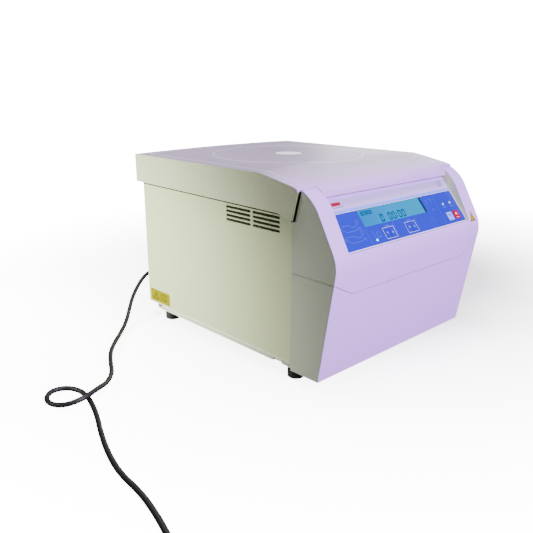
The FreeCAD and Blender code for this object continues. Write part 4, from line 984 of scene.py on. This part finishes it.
# the floor and sky look bright but light the machine only a little, and a painted shadow makes the floor's
# glow duller beside the machine
stage = {"floorTone": (0.95, 0.95, 0.95, 1), "bounceTone": (0.1, 0.1, 0.1, 1), "roughness": 0.9,
         "specular": 0.1, "span": 40, "skySeen": 20.0, "skyLight": 0.05, "shadeCentre": (0.34, 0.12, 0.0),
         "glowNear": 0.3, "glowFar": 18.0, "nearEdge": 0.26, "farEdge": 1.15}


def addFloor(v):
    mat = bpy.data.materials.new("floor")
    mat.use_nodes = True
    tree = mat.node_tree
    shader = tree.nodes["Principled BSDF"]
    shader.inputs["Roughness"].default_value = v["roughness"]
    shader.inputs["Specular IOR Level"].default_value = v["specular"]
    shader.inputs["Emission Color"].default_value = (1, 1, 1, 1)
    place = addNode(tree, "ShaderNodeTexCoord")
    # painted shadow: the camera-seen glow is weakest round shadeCentre, beside the machine, and grows away
    # from it
    shift = addNode(tree, "ShaderNodeVectorMath", operation="SUBTRACT")
    shift.inputs[1].default_value = v["shadeCentre"]
    reach = addNode(tree, "ShaderNodeVectorMath", operation="LENGTH")
    tree.links.new(place.outputs["Object"], shift.inputs[0])
    tree.links.new(shift.outputs["Vector"], reach.inputs[0])
    fade = addNode(tree, "ShaderNodeMapRange", From_Min=v["nearEdge"], From_Max=v["farEdge"],
                   To_Min=v["glowNear"], To_Max=v["glowFar"])
    tree.links.new(reach.outputs["Value"], fade.inputs["Value"])
    ray = addNode(tree, "ShaderNodeLightPath")
    bounce = addNode(tree, "ShaderNodeMix", data_type="RGBA")
    bounce.inputs[6].default_value = v["bounceTone"]
    bounce.inputs[7].default_value = v["floorTone"]
    tree.links.new(ray.outputs["Is Camera Ray"], bounce.inputs[0])
    tree.links.new(bounce.outputs[2], shader.inputs["Base Color"])
    seen = addNode(tree, "ShaderNodeMath", operation="MULTIPLY")
    tree.links.new(fade.outputs[0], seen.inputs[0])
    tree.links.new(ray.outputs["Is Camera Ray"], seen.inputs[1])
    tree.links.new(seen.outputs[0], shader.inputs["Emission Strength"])
    bm = bmesh.new()
    bmesh.ops.create_grid(bm, x_segments=1, y_segments=1, size=v["span"])
    floor = bpy.data.objects.new("floor", meshFrom(bm, "floor"))
    bpy.context.collection.objects.link(floor)
    floor.data.materials.append(mat)


def addSky(v):
    world = bpy.data.worlds.new("studio")
    bpy.context.scene.world = world
    world.use_nodes = True
    sky = world.node_tree
    back = sky.nodes["Background"]
    back.inputs["Color"].default_value = (1, 1, 1, 1)
    ray = addNode(sky, "ShaderNodeLightPath")
    level = addNode(sky, "ShaderNodeMapRange", To_Min=v["skyLight"], To_Max=v["skySeen"])
    sky.links.new(ray.outputs["Is Camera Ray"], level.inputs["Value"])
    sky.links.new(level.outputs[0], back.inputs["Strength"])


lamps = {
    "overhead": dict(kind="AREA", place=(-0.3, 0.12, 2.1), aim=(0, 0, 0.25), size=0.7, power=60,
                     color=(1.0, 0.97, 1.0)),
    "front": dict(kind="AREA", place=(-0.1, -1.7, 0.7), aim=(0, -0.2, 0.15), size=0.8, power=80,
                  color=(0.94, 0.76, 1.0)),
    "sideWash": dict(kind="SPOT", place=(-1.35, 0.75, 0.62), aim=(-0.185, 0.27, 0.1), size=0.12, power=300,
                     cone=34, color=(0.97, 1.0, 0.84)),
    "rightFill": dict(kind="AREA", place=(1.7, 0.9, 0.8), aim=(0.18, 0, 0.15), size=0.9, power=16,
                      color=(1.0, 1.0, 0.95)),
    "sideFill": dict(kind="AREA", place=(-1.6, -0.1, 0.3), aim=(-0.185, -0.1, 0.1), size=0.8, power=0.8,
                     color=(0.97, 1.0, 0.88)),
}


def addLamp(name, v):
    data = bpy.data.lights.new(name, v["kind"])
    if v["kind"] == "SPOT":
        data.spot_size = math.radians(v["cone"])
        data.spot_blend = 1.0
        data.shadow_soft_size = v["size"]
    else:
        data.size = v["size"]
    data.energy = v["power"]
    data.color = v["color"]
    lamp = bpy.data.objects.new(name, data)
    lamp.location = v["place"]
    aim = Vector(v["aim"]) - Vector(v["place"])
    lamp.rotation_euler = aim.to_track_quat("-Z", "Y").to_euler()
    lamp.visible_camera = False
    bpy.context.collection.objects.link(lamp)


addFloor(stage)
addSky(stage)
for name, v in lamps.items():
    addLamp(name, v)
print("stage and lamps made")
